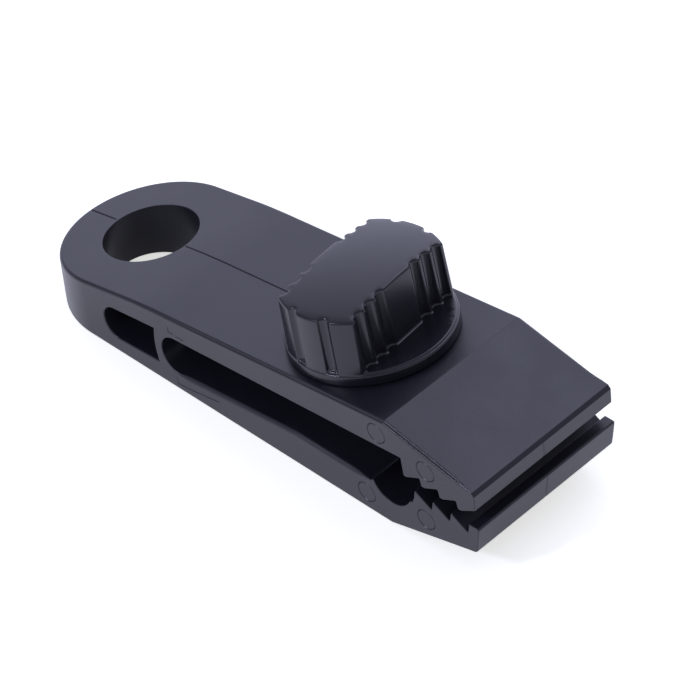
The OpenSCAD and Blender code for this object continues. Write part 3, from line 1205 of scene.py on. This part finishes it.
@dataclass
class SprungHalf(Moulding):
    """The springing half of the moulding: the upper arm, its nose and its teeth."""

    name: ClassVar[str] = "moulded_upper_arm"
    pins: ClassVar[Spots] = ((78.0, 21.0), (89.8, 18.9))
    core_marks: ClassVar[Paths] = (((25.5, 13.97), (27.7, 14.0)),)
    nose_round: float = 0.7
    # The nose ends in a narrow bevel above its lip
    lip_bevel: float = 0.6
    bevel_round: float = 0.25
    tooth_round: float = 0.2
    throat_round: float = 0.1
    hole_steps: int = 48
    # On the real clip the root bends from the seam to here as the jaw moves
    bend_end: float = 40.0

    def add_faces(self) -> None:
        """Adds the edges, the faces between them, the screw's hole and the sides."""
        s = self.sizes
        edge = self._edge()
        rounds = edge.rounds()
        self.shell.twin(rounds)
        top, under = self._flat_stretches(edge.path)
        self.shell.grid(self.line.rows(edge.face, edge.inward)[top[-1] : under[0] + 1])
        planes = ((rise(s.arm_slope), s.arm_top(0.0)), (rise(s.under_slope), s.arm_under(0.0)))
        ring = circle(s.screw_d / 2.0 + s.hole_clear, self.hole_steps)
        holes = [self.screw.onto(ring, *plane) for plane in planes]
        self.flat_face(edge, top, holes[0], planes[0], -1.0)
        self.flat_face(edge, under, holes[1], planes[1], 1.0)
        self.shell.grid(np.stack(holes), around=True)
        for side in Side:
            self.add_side(side, [edge.wall[:, [0, 2]]])
        self.seam_cap(rounds[:, 0], rounds[:, -1])

    def _edge(self) -> SweptEdge:
        """Draws the side view from the seam along the top, round the nose and back under the teeth.

        Returns:
            The view with its near edge.
        """
        s, m = self.sizes, self.marks
        steep = s.upper_tooth_x
        half_rake = s.tooth_rake / 2.0
        roots = pairs(steep - half_rake, s.upper_tip_z + s.upper_tooth_h)
        roots[0, 1] = s.arm_under(steep[0] - half_rake)
        tips = pairs(steep + half_rake, s.upper_tip_z)
        lands = tips + (s.tooth_land, 0.0)
        teeth = np.stack([lands, tips, roots], axis=1)[::-1].reshape(-1, 2)
        lip_x = s.lip_x
        crease = np.array([s.nose_x, s.arm_top(s.nose_x)])
        lip = np.array([lip_x, s.nose_top(lip_x)])
        front = np.array(
            [
                [s.slot_x, s.arm_top(s.slot_x)],
                crease,
                lip - self.lip_bevel * unit(lip - crease),
                lip - np.array([0.0, self.lip_bevel]),
                [lip_x, s.lower_tip_z + s.lip_gap],
            ]
        )
        corners = np.vstack([front, teeth, [[s.slot_x, s.arm_under(s.slot_x)]]])
        teeth_r = np.full(len(teeth), self.tooth_round)
        teeth_r[-1] = self.throat_round
        front_r = [0.0, self.nose_round, self.bevel_round, self.bevel_round, m.lip_round]
        radii = np.concatenate([front_r, teeth_r, [0.0]])
        path = densify(rounded_path(corners, radii), m.path_step)
        inward = right_normals(path)
        top, under = self._flat_stretches(path)
        inward[top[[0, -1]]] = (0.0, -1.0)
        inward[under[[0, -1]]] = (0.0, 1.0)
        x, z = path.T
        before_lip = x < lip_x - self.lip_bevel - 2.0 * self.bevel_round - m.path_step
        on_top = before_lip & (z > s.arm_under(x) + m.top_round)
        upper = eased(path, on_top.astype(float), m.path_step)
        upper[top] = 1.0
        upper[under] = 0.0
        edge_r = m.slot_round + (m.top_round - m.slot_round) * upper
        return SweptEdge.along(path, inward, edge_r, upper * m.step(x), s.half, m.round_steps)

    def _flat_stretches(self, path: Array) -> tuple[Numbers, Numbers]:
        """Finds the flat top and the flat underside.

        Args:
            path: Points of the side view.

        Returns:
            Numbers of the points on the top, and of those on the underside.
        """
        x, z = path.T
        top = np.flatnonzero(np.abs(z - self.sizes.arm_top(x)) < TINY)
        under = np.flatnonzero(np.abs(z - self.sizes.arm_under(x)) < TINY)
        return top, under


@dataclass
class ThumbKnob(Piece):
    """The knob that the hand turns: a round flange and a domed grip with fluted flats."""

    name: ClassVar[str] = "fluted_thumb_knob"
    frame: ScrewFrame
    flange_r: float = 16.25
    flange_h: float = 2.8
    rim_round: float = 0.38
    rim_chamfer: float = 0.3
    seat_clear: float = 0.05
    # The grip at its top; its sides lean out by the draft down to its foot
    grip_r: float = 15.8
    grip_half: float = 8.7
    knob_h: float = 15.7
    dome_fall: float = 1.7
    draft: float = 0.25
    corner_r: float = 0.6
    top_round: float = 0.5
    foot_round: float = 0.45
    flute_r: float = 1.3
    flute_depth: float = 0.85
    flute_edge: float = 0.25
    flutes: tuple[float, ...] = (5.0, 8.1, 11.2)
    end_flute: float = 3.6
    fit_clear: float = 0.05
    # The foot's round ends this far inside the flange's edge
    foot_inset: float = 0.095
    crown_step: float = 0.5
    step: float = 0.35
    edge_steps: int = 4
    foot_steps: int = 6
    rim_steps: int = 7
    # Points across a flute's rounded edge and across its hollow
    flute_steps: tuple[int, int] = (5, 13)
    # Points round the grip's corner, and along its round end before and after the flute
    end_steps: tuple[int, int, int] = (9, 12, 6)

    def add_faces(self) -> None:
        """Adds the crown, the grip's wall and foot, the flange, the bore and the head's bed."""
        inset, crown, base, skirt = self._outlines()
        top = raised(crown, self._dome(crown))
        below = top - np.array([0.0, 0.0, self.top_round])
        edge = conic(raised(inset, self._dome(inset)), top, below, self.edge_steps)
        foot = self._foot(base, skirt)
        rim = self._rim(foot[-1, :, :2])
        self.shell.grid(self.frame.turned(np.concatenate([edge, foot])), around=True)
        rows = self.frame.turned(np.concatenate([rim, self._underside(rim[-1])]))
        self.shell.grid(rows, around=True)
        self.shell.polygon(distinct(rows[-1]))
        self._crown(inset)
        self._flange_top(foot[-1, :, :2], rim[0, :, :2])

    def _crown(self, inset: Array) -> None:
        """Adds the domed top, with rows of points inside its outline.

        Args:
            inset: Plan of the inner edge of the top's round.
        """
        inside = self.top_round + self.flute_depth + self.crown_step
        across, radius = self.grip_half - inside, self.grip_r - inside
        lines = []
        for x in np.linspace(-across, across, int(2.0 * across / self.crown_step)):
            along = math.sqrt(radius**2 - x**2)
            y = np.linspace(-along, along, int(2.0 * along / self.crown_step))
            lines.append(pairs(x, y))
        self.shell.fill([inset], lambda plan: self.frame.turned(raised(plan, self._dome(plan))), lines)

    def _flange_top(self, outer: Array, ring: Array) -> None:
        """Adds the flange's flat top on both sides of the grip.

        Args:
            outer: Plan of the outer edge of the foot's round.
            ring: Plan of the flange's edge, which meets the foot at the grip's ends.
        """
        free = np.linalg.norm(ring - outer, axis=1) > WELD
        for start in np.flatnonzero(free & ~np.roll(free, 1)):
            length = int(np.argmin(np.roll(free, -start)))
            run = (start + np.arange(-1, length + 1)) % len(free)
            loop = np.vstack([outer[run], distinct(ring[run[-2:0:-1]])])
            self.shell.fill([loop], lambda plan: self.frame.turned(raised(plan, self._flange(plan))))

    def _dome(self, plan: Array) -> Array:
        """Height of the grip's top, a flat sphere's cap."""
        radius = (self.grip_r**2 + self.dome_fall**2) / (2.0 * self.dome_fall)
        return self.knob_h - radius + np.sqrt(radius**2 - np.sum(plan**2, axis=1))

    def _flange(self, plan: Array) -> Array:
        """Height of the flange's top, which falls to its rim in two small rounds, a fine step apart.

        Args:
            plan: Points of the knob's plan.

        Returns:
            The height at each point.
        """
        over = np.linalg.norm(plan, axis=-1) - self.flange_r + 2.0 * self.rim_round
        rounds = [np.clip(over - start, 0.0, self.rim_round) for start in (0.0, self.rim_round)]
        falls = [self.rim_round - np.sqrt(self.rim_round**2 - part**2) for part in rounds]
        return self.flange_h - falls[0] - falls[1]

    def _outlines(self) -> list[Array]:
        """Plans of the grip, with the same number of points, each above the next.

        Returns:
            The plans inside the top edge's round, of that edge, of the foot and round its round.
        """
        sizes = (-self.top_round, 0.0, self.draft, self.draft + self.foot_round)
        loops = np.hstack([self._outline(grow) for grow in sizes])
        return np.split(densify(np.vstack([loops, loops[:1]]), self.step)[:-1], len(sizes), axis=1)

    def _flute(self) -> tuple[Array, Array]:
        """Draws a hollow flute with rounded edges.

        An edge's round touches the outline and the flute, so the middles of the round and of the
        flute are as far apart as the sum of their radii. The flute's middle lies outside the
        outline by its radius less its depth.

        Returns:
            Places along the outline from the flute's middle, and the depth at each.
        """
        both = self.flute_r + self.flute_edge
        lean = math.acos((self.flute_edge + self.flute_r - self.flute_depth) / both)
        turn = np.linspace(0.0, lean, self.flute_steps[0])[:-1]
        slide = both * math.sin(lean) - self.flute_edge * np.sin(turn)
        dip = self.flute_edge * (1.0 - np.cos(turn))
        inner = self.flute_r * ray(np.linspace(-lean, lean, self.flute_steps[1]))
        deep = inner[:, 0] - self.flute_r + self.flute_depth
        return np.concatenate([-slide, inner[:, 1], slide[::-1]]), np.concatenate([dip, deep, dip[::-1]])

    def _outline(self, grow: float) -> Array:
        """Plan of the grip, counter-clockwise.

        One quarter runs up a flat and over its flutes, turns a rounded corner and follows the
        round end over another flute. The other quarters mirror it.

        Args:
            grow: Distance out from the plan of the grip's top.

        Returns:
            The points of the closed loop.
        """
        half, radius, corner_r = self.grip_half + grow, self.grip_r + grow, self.corner_r + grow
        slide, dip = self._flute()
        flat = [pairs(half - dip, y + slide) for y in self.flutes]
        across = half - corner_r
        up = math.sqrt((radius - corner_r) ** 2 - across**2)
        start, middle = math.atan2(up, across), math.acos(self.end_flute / radius)
        reach = slide[-1] / radius
        corner_steps, first_steps, last_steps = self.end_steps
        corner = np.array([across, up]) + corner_r * ray(np.linspace(0.0, start, corner_steps))
        first = radius * ray(np.linspace(start, middle - reach, first_steps)[1:-1])
        last = radius * ray(np.linspace(middle + reach, math.pi / 2.0, last_steps)[1:])
        end = (radius - dip)[:, None] * ray(middle + slide / radius)
        quarter = np.vstack([[[half, 0.0]], *flat, corner, first, end, last])
        upper = np.vstack([quarter, (quarter * (-1.0, 1.0))[-2::-1]])
        return np.vstack([upper, (upper * (1.0, -1.0))[-2:0:-1]])

    def _foot(self, base: Array, skirt: Array) -> Array:
        """The hollow round at the grip's foot, which stays inside the flange's rim.

        Args:
            base: Plan of the grip's foot.
            skirt: Plan of the outer edge of the foot's round.

        Returns:
            Rows from the grip's wall to the flange's top.
        """
        radius = np.linalg.norm(skirt, axis=1, keepdims=True)
        outer = skirt * np.minimum(1.0, (self.flange_r - self.foot_inset) / radius)
        corner = raised(base, self._flange(base))
        wall = corner + np.array([0.0, 0.0, self.foot_round])
        return conic(wall, corner, raised(outer, self._flange(outer)), self.foot_steps)

    def _rim(self, outer: Array) -> Array:
        """The flange's rounded edge and its wall.

        A column lies at the angle of its point at the grip's foot. Where a flute's wall turns back
        towards the middle of its flat, its columns share the angle of the flute's outer edge.

        Args:
            outer: Plan of the outer edge of the foot's round.

        Returns:
            Rows from the flat top to the flange's lower edge.
        """
        angle = np.unwrap(np.arctan2(outer[:, 1], outer[:, 0]))
        ahead, behind = np.minimum.accumulate(angle[::-1])[::-1], np.maximum.accumulate(angle)
        way = ray(np.where(outer[:, 0] * outer[:, 1] > 0.0, ahead, behind))
        small = self.rim_round * (np.sin(np.linspace(0.0, np.pi / 2.0, self.rim_steps)) - 1.0)
        reach = self.flange_r + np.concatenate([small - self.rim_round, small[1:]])
        plan = np.maximum(reach[:, None], np.linalg.norm(outer, axis=1))[..., None] * way
        edge = raised(plan, self._flange(plan))
        low = raised(plan[-1], self.seat_clear + self.rim_chamfer)
        lowest = raised(plan[-1] * (1.0 - self.rim_chamfer / self.flange_r), self.seat_clear)
        return np.concatenate([edge, [low, lowest]])

    def _underside(self, rim: Array) -> Array:
        """The underside, the shank's bore and the bed of the screw's hexagon head.

        Args:
            rim: The flange's lower edge.

        Returns:
            Rows from the bore's lower edge to the top of the bed.
        """
        sizes, bed = self.frame.sizes, self.frame.head_bed
        way = unit(rim[:, :2])
        bore = way * (sizes.screw_d / 2.0 + self.fit_clear)
        angle = np.arctan2(way[:, 1], way[:, 0])
        head = way * hexagon(angle, sizes.hex_af / 2.0 + self.fit_clear)[:, None]
        over = bed + self.frame.head_h + self.fit_clear
        rows = ((bore, self.seat_clear), (bore, bed), (head, bed), (head, over))
        return np.stack([raised(plan, height) for plan, height in rows])


def hexagon(angle: Array, apothem: float) -> Array:
    """Distance from a hexagon's middle to its edge at each angle, with a corner at zero."""
    sixth = np.pi / 3.0
    return apothem / np.cos(np.mod(angle, sixth) - sixth / 2.0)


@dataclass
class ClampScrew(Piece):
    """The zinc-plated screw: a hexagon head inside the knob and a threaded shank."""

    name: ClassVar[str] = "threaded_clamp_screw"
    frame: ScrewFrame
    pitch: float = 0.8
    depth: float = 0.45
    crest_share: float = 0.12
    root_share: float = 0.2
    # The tip's chamfer ends this far inside the thread's crest
    tip_inset: float = 0.54
    columns: int = 48
    rows_per_turn: int = 12

    def add_faces(self) -> None:
        """Adds the shank and the head.

        The shank's radius falls from crest to root with the distance from the helix, which rises
        by one pitch a turn, and the tip has a chamfer.
        """
        sizes, bed, tip = self.frame.sizes, self.frame.head_bed, -self.frame.tip_depth
        angle = np.linspace(0.0, 2.0 * np.pi, self.columns, endpoint=False)
        count = int((bed - tip) / self.pitch * self.rows_per_turn)
        height = np.linspace(tip, bed, count)[:, None]
        phase = np.abs(2.0 * np.mod(height / self.pitch - angle / (2.0 * np.pi), 1.0) - 1.0)
        fall = np.clip((phase - self.crest_share) / (1.0 - self.crest_share - self.root_share), 0.0, 1.0)
        crest = sizes.screw_d / 2.0
        radius = np.minimum(crest - self.depth * fall, crest - self.tip_inset + (height - tip))
        flats = hexagon(angle, sizes.hex_af / 2.0)
        head = [polar(flats, angle, z) for z in (bed, bed + self.frame.head_h)]
        rows = self.frame.turned(np.concatenate([polar(radius, angle, height), head]))
        self.shell.grid(rows, around=True)
        self.shell.polygon(rows[0])
        self.shell.polygon(rows[-1])


@dataclass
class CaptiveNut(Piece):
    """The zinc-plated hexagon nut that the lower arm holds."""

    name: ClassVar[str] = "captive_hex_nut"
    frame: ScrewFrame
    thread_clear: float = 0.1
    countersink: float = 0.3
    # The round end faces are a little narrower than the flats, and the corners slope away from them
    face_share: float = 0.97
    corner_slope: float = 30.0
    columns: int = 96

    def add_faces(self) -> None:
        """Adds a ring of profiles from the bore, out over the flats and back."""
        sizes = self.frame.sizes
        angle = np.linspace(0.0, 2.0 * np.pi, self.columns, endpoint=False)
        flats = hexagon(angle, sizes.hex_af / 2.0)
        bore = sizes.screw_d / 2.0 + self.thread_clear
        low, high = -self.frame.tip_depth, -self.frame.tip_depth + sizes.nut_h
        face = np.minimum(flats, sizes.hex_af / 2.0 * self.face_share)
        fall = (flats - face) * rise(self.corner_slope)
        profile = [
            (bore, low + self.countersink),
            (bore + self.countersink, low),
            (face, low),
            (flats, low + fall),
            (flats, high - fall),
            (face, high),
            (bore + self.countersink, high),
            (bore, high - self.countersink),
        ]
        rows = np.stack([polar(radius, angle, z) for radius, z in profile])
        self.shell.grid(self.frame.place(np.concatenate([rows, rows[:1]])), around=True)


def linear(code: str) -> tuple[float, float, float, float]:
    """Reads an sRGB hex colour.

    Args:
        code: A number sign and six hex digits.

    Returns:
        Linear red, green, blue and alpha.
    """
    parts = np.array([int(code[i : i + 2], 16) for i in (1, 3, 5)]) / 255.0
    tones = np.where(parts <= 0.04045, parts / 12.92, ((parts + 0.055) / 1.055) ** 2.4)
    return (*(float(tone) for tone in tones), 1.0)


def add(tree: Tree, kind: str, inputs: dict[Any, Any], **settings: Any) -> bpy.types.Node:
    """Adds a node with its settings and inputs.

    Args:
        tree: The material's or the world's nodes.
        kind: Blender's name for the node, after the words that all shader nodes start with.
        inputs: Socket name or number to a value, or to the output that is linked to it.
        **settings: Values of the node's own properties.

    Returns:
        The new node.
    """
    node = tree.nodes.new(f"ShaderNode{kind}")
    for name, value in settings.items():
        setattr(node, name, value)
    for name, value in inputs.items():
        if isinstance(value, Socket):
            tree.links.new(value, node.inputs[name])
        else:
            node.inputs[name].default_value = value
    return node


def emptied(owner: bpy.types.Material | bpy.types.World) -> Tree:
    """Clears the nodes of a new material or world.

    Args:
        owner: The material or the world.

    Returns:
        Its nodes, with none left among them.
    """
    owner.use_nodes = True
    owner.node_tree.nodes.clear()
    return owner.node_tree


def noise(tree: Tree, size_mm: float, detail: float) -> Socket:
    """Adds a noise in the piece's own coordinates.

    Args:
        tree: The material's nodes.
        size_mm: About the size of its features.
        detail: How many finer layers it has.

    Returns:
        Its value at each point.
    """
    where = add(tree, "TexCoord", {}).outputs["Object"]
    inputs = {"Vector": where, "Scale": 1.0 / (size_mm * MM), "Detail": detail}
    return add(tree, "TexNoise", inputs).outputs["Fac"]


def ramp(tree: Tree, value: Socket, span: Span, ends: Span) -> Socket:
    """Carries a value from a span to the range between two ends, and holds it there."""
    inputs = {0: value, 1: span[0], 2: span[1], 3: ends[0], 4: ends[1]}
    return add(tree, "MapRange", inputs).outputs[0]


@dataclass(frozen=True)
class Finish:
    """A finish whose colour and roughness both follow a soft noise."""

    name: str
    dark: str
    pale: str
    rough: Span
    cloud_mm: float
    cloud_detail: float
    # Most of the noise lies between these values
    cloud_span: ClassVar[Span] = (0.3, 0.7)

    def make(self) -> bpy.types.Material:
        """Makes the finish.

        Returns:
            A new material.
        """
        material = bpy.data.materials.new(self.name)
        tree = emptied(material)
        cloud = noise(tree, self.cloud_mm, self.cloud_detail)
        tones = {0: cloud, 6: linear(self.dark), 7: linear(self.pale)}
        inputs = {
            "Base Color": add(tree, "Mix", tones, data_type="RGBA").outputs[2],
            "Roughness": ramp(tree, cloud, self.cloud_span, self.rough),
            **self.surface(tree),
        }
        shader = add(tree, "BsdfPrincipled", inputs)
        add(tree, "OutputMaterial", {"Surface": shader.outputs[0]})
        return material

    def surface(self, tree: Tree) -> dict[str, Any]:
        """What the surface has besides its colour and roughness."""
        raise NotImplementedError


@dataclass(frozen=True)
class MouldedNylon(Finish):
    """Black nylon from a polished steel mould, near black, with a satin skin that mirrors the room."""

    # Broad flow marks
    cloud_mm: float = 14.0
    cloud_detail: float = 4.0
    ior: float = 1.53
    # Sunk patches, and the mould's own fine grain, drawn coarser than life so that it shows
    sink_mm: float = 9.0
    sink_detail: float = 1.0
    sink_height_mm: float = 0.03
    grain_mm: float = 0.35
    grain_detail: float = 3.0
    grain_height_mm: float = 0.012

    def surface(self, tree: Tree) -> dict[str, Any]:
        """The nylon's gloss and its slightly uneven skin.

        Args:
            tree: The material's nodes.

        Returns:
            Values and outputs for the surface's inputs.
        """
        sink = noise(tree, self.sink_mm, self.sink_detail)
        grain = noise(tree, self.grain_mm, self.grain_detail)
        broad = {"Strength": 1.0, "Distance": self.sink_height_mm * MM, "Height": sink}
        fine = {"Strength": 1.0, "Distance": self.grain_height_mm * MM, "Height": grain}
        fine["Normal"] = add(tree, "Bump", broad).outputs["Normal"]
        return {"IOR": self.ior, "Normal": add(tree, "Bump", fine).outputs["Normal"]}


@dataclass(frozen=True)
class ZincPlate(Finish):
    """Steel with a bright zinc plate: a pale metal with a faint blue cast and a cloudy shine."""

    name: str = "zinc_plated_steel"
    dark: str = "#a9adb4"
    pale: str = "#d3d6db"
    rough: Span = (0.22, 0.38)
    cloud_mm: float = 1.5
    cloud_detail: float = 5.0

    def surface(self, tree: Tree) -> dict[str, Any]:
        """A bare metal."""
        return {"Metallic": 1.0}


@dataclass(frozen=True)
class SoftBox:
    """A square lamp that faces the clip, placed in metres."""

    name: str
    at: tuple[float, float, float]
    size: float
    watts: float

    def build(self, colour: str) -> None:
        """Makes the lamp.

        Args:
            colour: The tint of its light.
        """
        lamp = bpy.data.objects.new(self.name, bpy.data.lights.new(self.name, "AREA"))
        lamp.data.energy = self.watts
        lamp.data.size = self.size
        lamp.data.color = linear(colour)[:3]
        lamp.location = self.at
        lamp.rotation_euler = Vector(self.at).to_track_quat("Z", "Y").to_euler()
        bpy.context.scene.collection.objects.link(lamp)


@dataclass
class Studio:
    """A white table in soft light, and the camera of the photograph."""

    # Camera: place in millimetres, viewing angles in degrees and focal length for a 36 mm sensor
    camera_at: tuple[float, float, float] = (451.64, -355.05, 498.41)
    azimuth: float = 48.46
    elevation: float = 42.08
    roll: float = -6.17
    lens: float = 207.7
    floor_size: float = 8.0
    floor_drop_mm: float = 0.2
    floor_colour: str = "#f5f5f3"
    # Glow of the table top towards the camera, and towards glossy and clear pieces
    floor_lift: float = 0.62
    lift_colour: str = "#fffff8"
    floor_gloss: float = 0.47
    gloss_colour: str = "#f0f1ff"
    # Painted shade: the table's glow towards glossy rays fades to nothing within this distance of the
    # eye's middle, standing in for the eye's shadow, so that the bore's wall doesn't mirror a bright
    # disc
    painted_shade_mm: float = 18.0
    room_colour: str = "#e0e2ff"
    room_bright: float = 1.75
    room_dark: float = 0.5
    # The way to the room's bright wall, and the cosines at which its light starts and is full
    bright_way: tuple[float, float, float] = (-0.45, 0.85, 0.27)
    bright_span: Span = (0.5, 0.95)
    boxes: tuple[SoftBox, ...] = (
        SoftBox("ceiling_box", (-0.06, 0.66, 0.88), 0.3, 0.8),
        SoftBox("glint_box", (-0.26, -0.86, 0.77), 0.15, 4.0),
    )

    def build(self) -> None:
        """Makes the camera, the table, the room's light and the lamps."""
        scene = bpy.context.scene
        scene.view_settings.view_transform = "Standard"
        self._camera(scene)
        self._floor(scene)
        self._room(scene)
        for box in self.boxes:
            box.build(self.room_colour)

    def _camera(self, scene: bpy.types.Scene) -> None:
        """Places the camera from its viewing angles.

        Args:
            scene: The scene that it looks at.
        """
        turn, lift, roll = (math.radians(a) for a in (self.azimuth, self.elevation, self.roll))
        flat = math.cos(lift)
        back = Vector((math.sin(turn) * flat, -math.cos(turn) * flat, math.sin(lift)))
        level = Vector((math.cos(turn), math.sin(turn), 0.0))
        right = Matrix.Rotation(roll, 3, back) @ level
        up = back.cross(right)
        camera = bpy.data.objects.new("camera", bpy.data.cameras.new("camera"))
        camera.data.lens = self.lens
        camera.data.clip_start = 0.01
        camera.matrix_world = Matrix((right, up, back)).transposed().to_4x4()
        camera.location = Vector(self.camera_at) * MM
        scene.collection.objects.link(camera)
        scene.camera = camera

    def _floor(self, scene: bpy.types.Scene) -> None:
        """A matt white table top that keeps the clip's shadow, lifted a little towards white.

        Args:
            scene: The scene that it stands in.
        """
        half = self.floor_size / 2.0
        corners = np.array([[-1.0, -1.0], [1.0, -1.0], [1.0, 1.0], [-1.0, 1.0]]) * half
        mesh = bpy.data.meshes.new("table_top")
        mesh.from_pydata(raised(corners, -self.floor_drop_mm * MM), [], [(0, 1, 2, 3)])
        material = bpy.data.materials.new("matt_white_laminate")
        tree = emptied(material)
        surface = add(tree, "BsdfDiffuse", {"Color": linear(self.floor_colour)}).outputs[0]
        for glow in self._glows(tree):
            surface = add(tree, "AddShader", {0: surface, 1: glow}).outputs[0]
        add(tree, "OutputMaterial", {"Surface": surface})
        mesh.materials.append(material)
        table = bpy.data.objects.new("table_top", mesh)
        scene.collection.objects.link(table)

    def _glows(self, tree: Tree) -> list[Socket]:
        """The table's glow for rays from the camera, and for those from a gloss or a clear body, which
        has painted shade under the eye.

        Args:
            tree: The table's nodes.

        Returns:
            The two glowing surfaces.
        """
        path = add(tree, "LightPath", {}).outputs
        where = add(tree, "TexCoord", {}).outputs["Object"]
        away = add(tree, "VectorMath", {0: where}, operation="LENGTH").outputs["Value"]
        # Painted shade: the glossy glow fades towards the eye's middle, where the eye shades the table
        gloss_with_painted_shade = ramp(tree, away, (0.0, self.painted_shade_mm * MM), (0.0, self.floor_gloss))
        bounced = {0: path["Is Glossy Ray"], 1: path["Is Transmission Ray"]}
        either = add(tree, "Math", bounced, operation="MAXIMUM").outputs[0]
        levels = (
            (self.lift_colour, path["Is Camera Ray"], self.floor_lift),
            (self.gloss_colour, either, gloss_with_painted_shade),
        )
        glows = []
        for colour, rays, level in levels:
            strength = add(tree, "Math", {0: rays, 1: level}, operation="MULTIPLY").outputs[0]
            glow = add(tree, "Emission", {"Color": linear(colour), "Strength": strength})
            glows.append(glow.outputs[0])
        return glows

    def _room(self, scene: bpy.types.Scene) -> None:
        """A room whose walls are bright on the far side of the clip and dim on the near side.

        Args:
            scene: The scene that the room is lit for.
        """
        scene.world = bpy.data.worlds.new("light_tent")
        tree = emptied(scene.world)
        way = add(tree, "TexCoord", {}).outputs["Generated"]
        ways = {0: way, 1: Vector(self.bright_way).normalized()}
        towards = add(tree, "VectorMath", ways, operation="DOT_PRODUCT").outputs["Value"]
        level = ramp(tree, towards, self.bright_span, (self.room_dark, self.room_bright))
        camera = add(tree, "LightPath", {}).outputs["Is Camera Ray"]
        strength = add(tree, "Math", {0: level, 1: camera}, operation="MAXIMUM").outputs[0]
        light = add(tree, "Background", {"Color": linear(self.room_colour), "Strength": strength})
        add(tree, "OutputWorld", {"Surface": light.outputs[0]})


def main() -> None:
    """Builds the clip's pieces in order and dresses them."""
    logging.basicConfig(level=logging.INFO, format="%(name)s: %(message)s")
    sizes, marks = ClipSizes(), MouldMarks()
    screw_frame = ScrewFrame(sizes)
    body = MouldedNylon("satin_black_nylon", "#15151c", "#1b1b23", (0.3, 0.38)).make()
    knob = MouldedNylon("polished_black_nylon", "#131319", "#18181f", (0.2, 0.26)).make()
    steel = ZincPlate().make()
    Studio().build()

    lower = FixedHalf(sizes, marks).build(body)
    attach(lower, "clip")
    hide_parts("eye_and_lower_jaw")

    arm = SprungHalf(sizes, marks)
    upper = arm.build(body)
    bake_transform(upper)
    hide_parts("upper_jaw")

    grip = ThumbKnob(screw_frame).build(knob)
    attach(grip, "knob")
    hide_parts("thumb_knob")

    screw = ClampScrew(screw_frame).build(steel)
    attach(screw, "knob")
    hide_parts("clamp_screw")

    nut = CaptiveNut(screw_frame).build(steel)
    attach(nut, "nut")
    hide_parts("captive_nut")


if __name__ == "__main__":
    main()
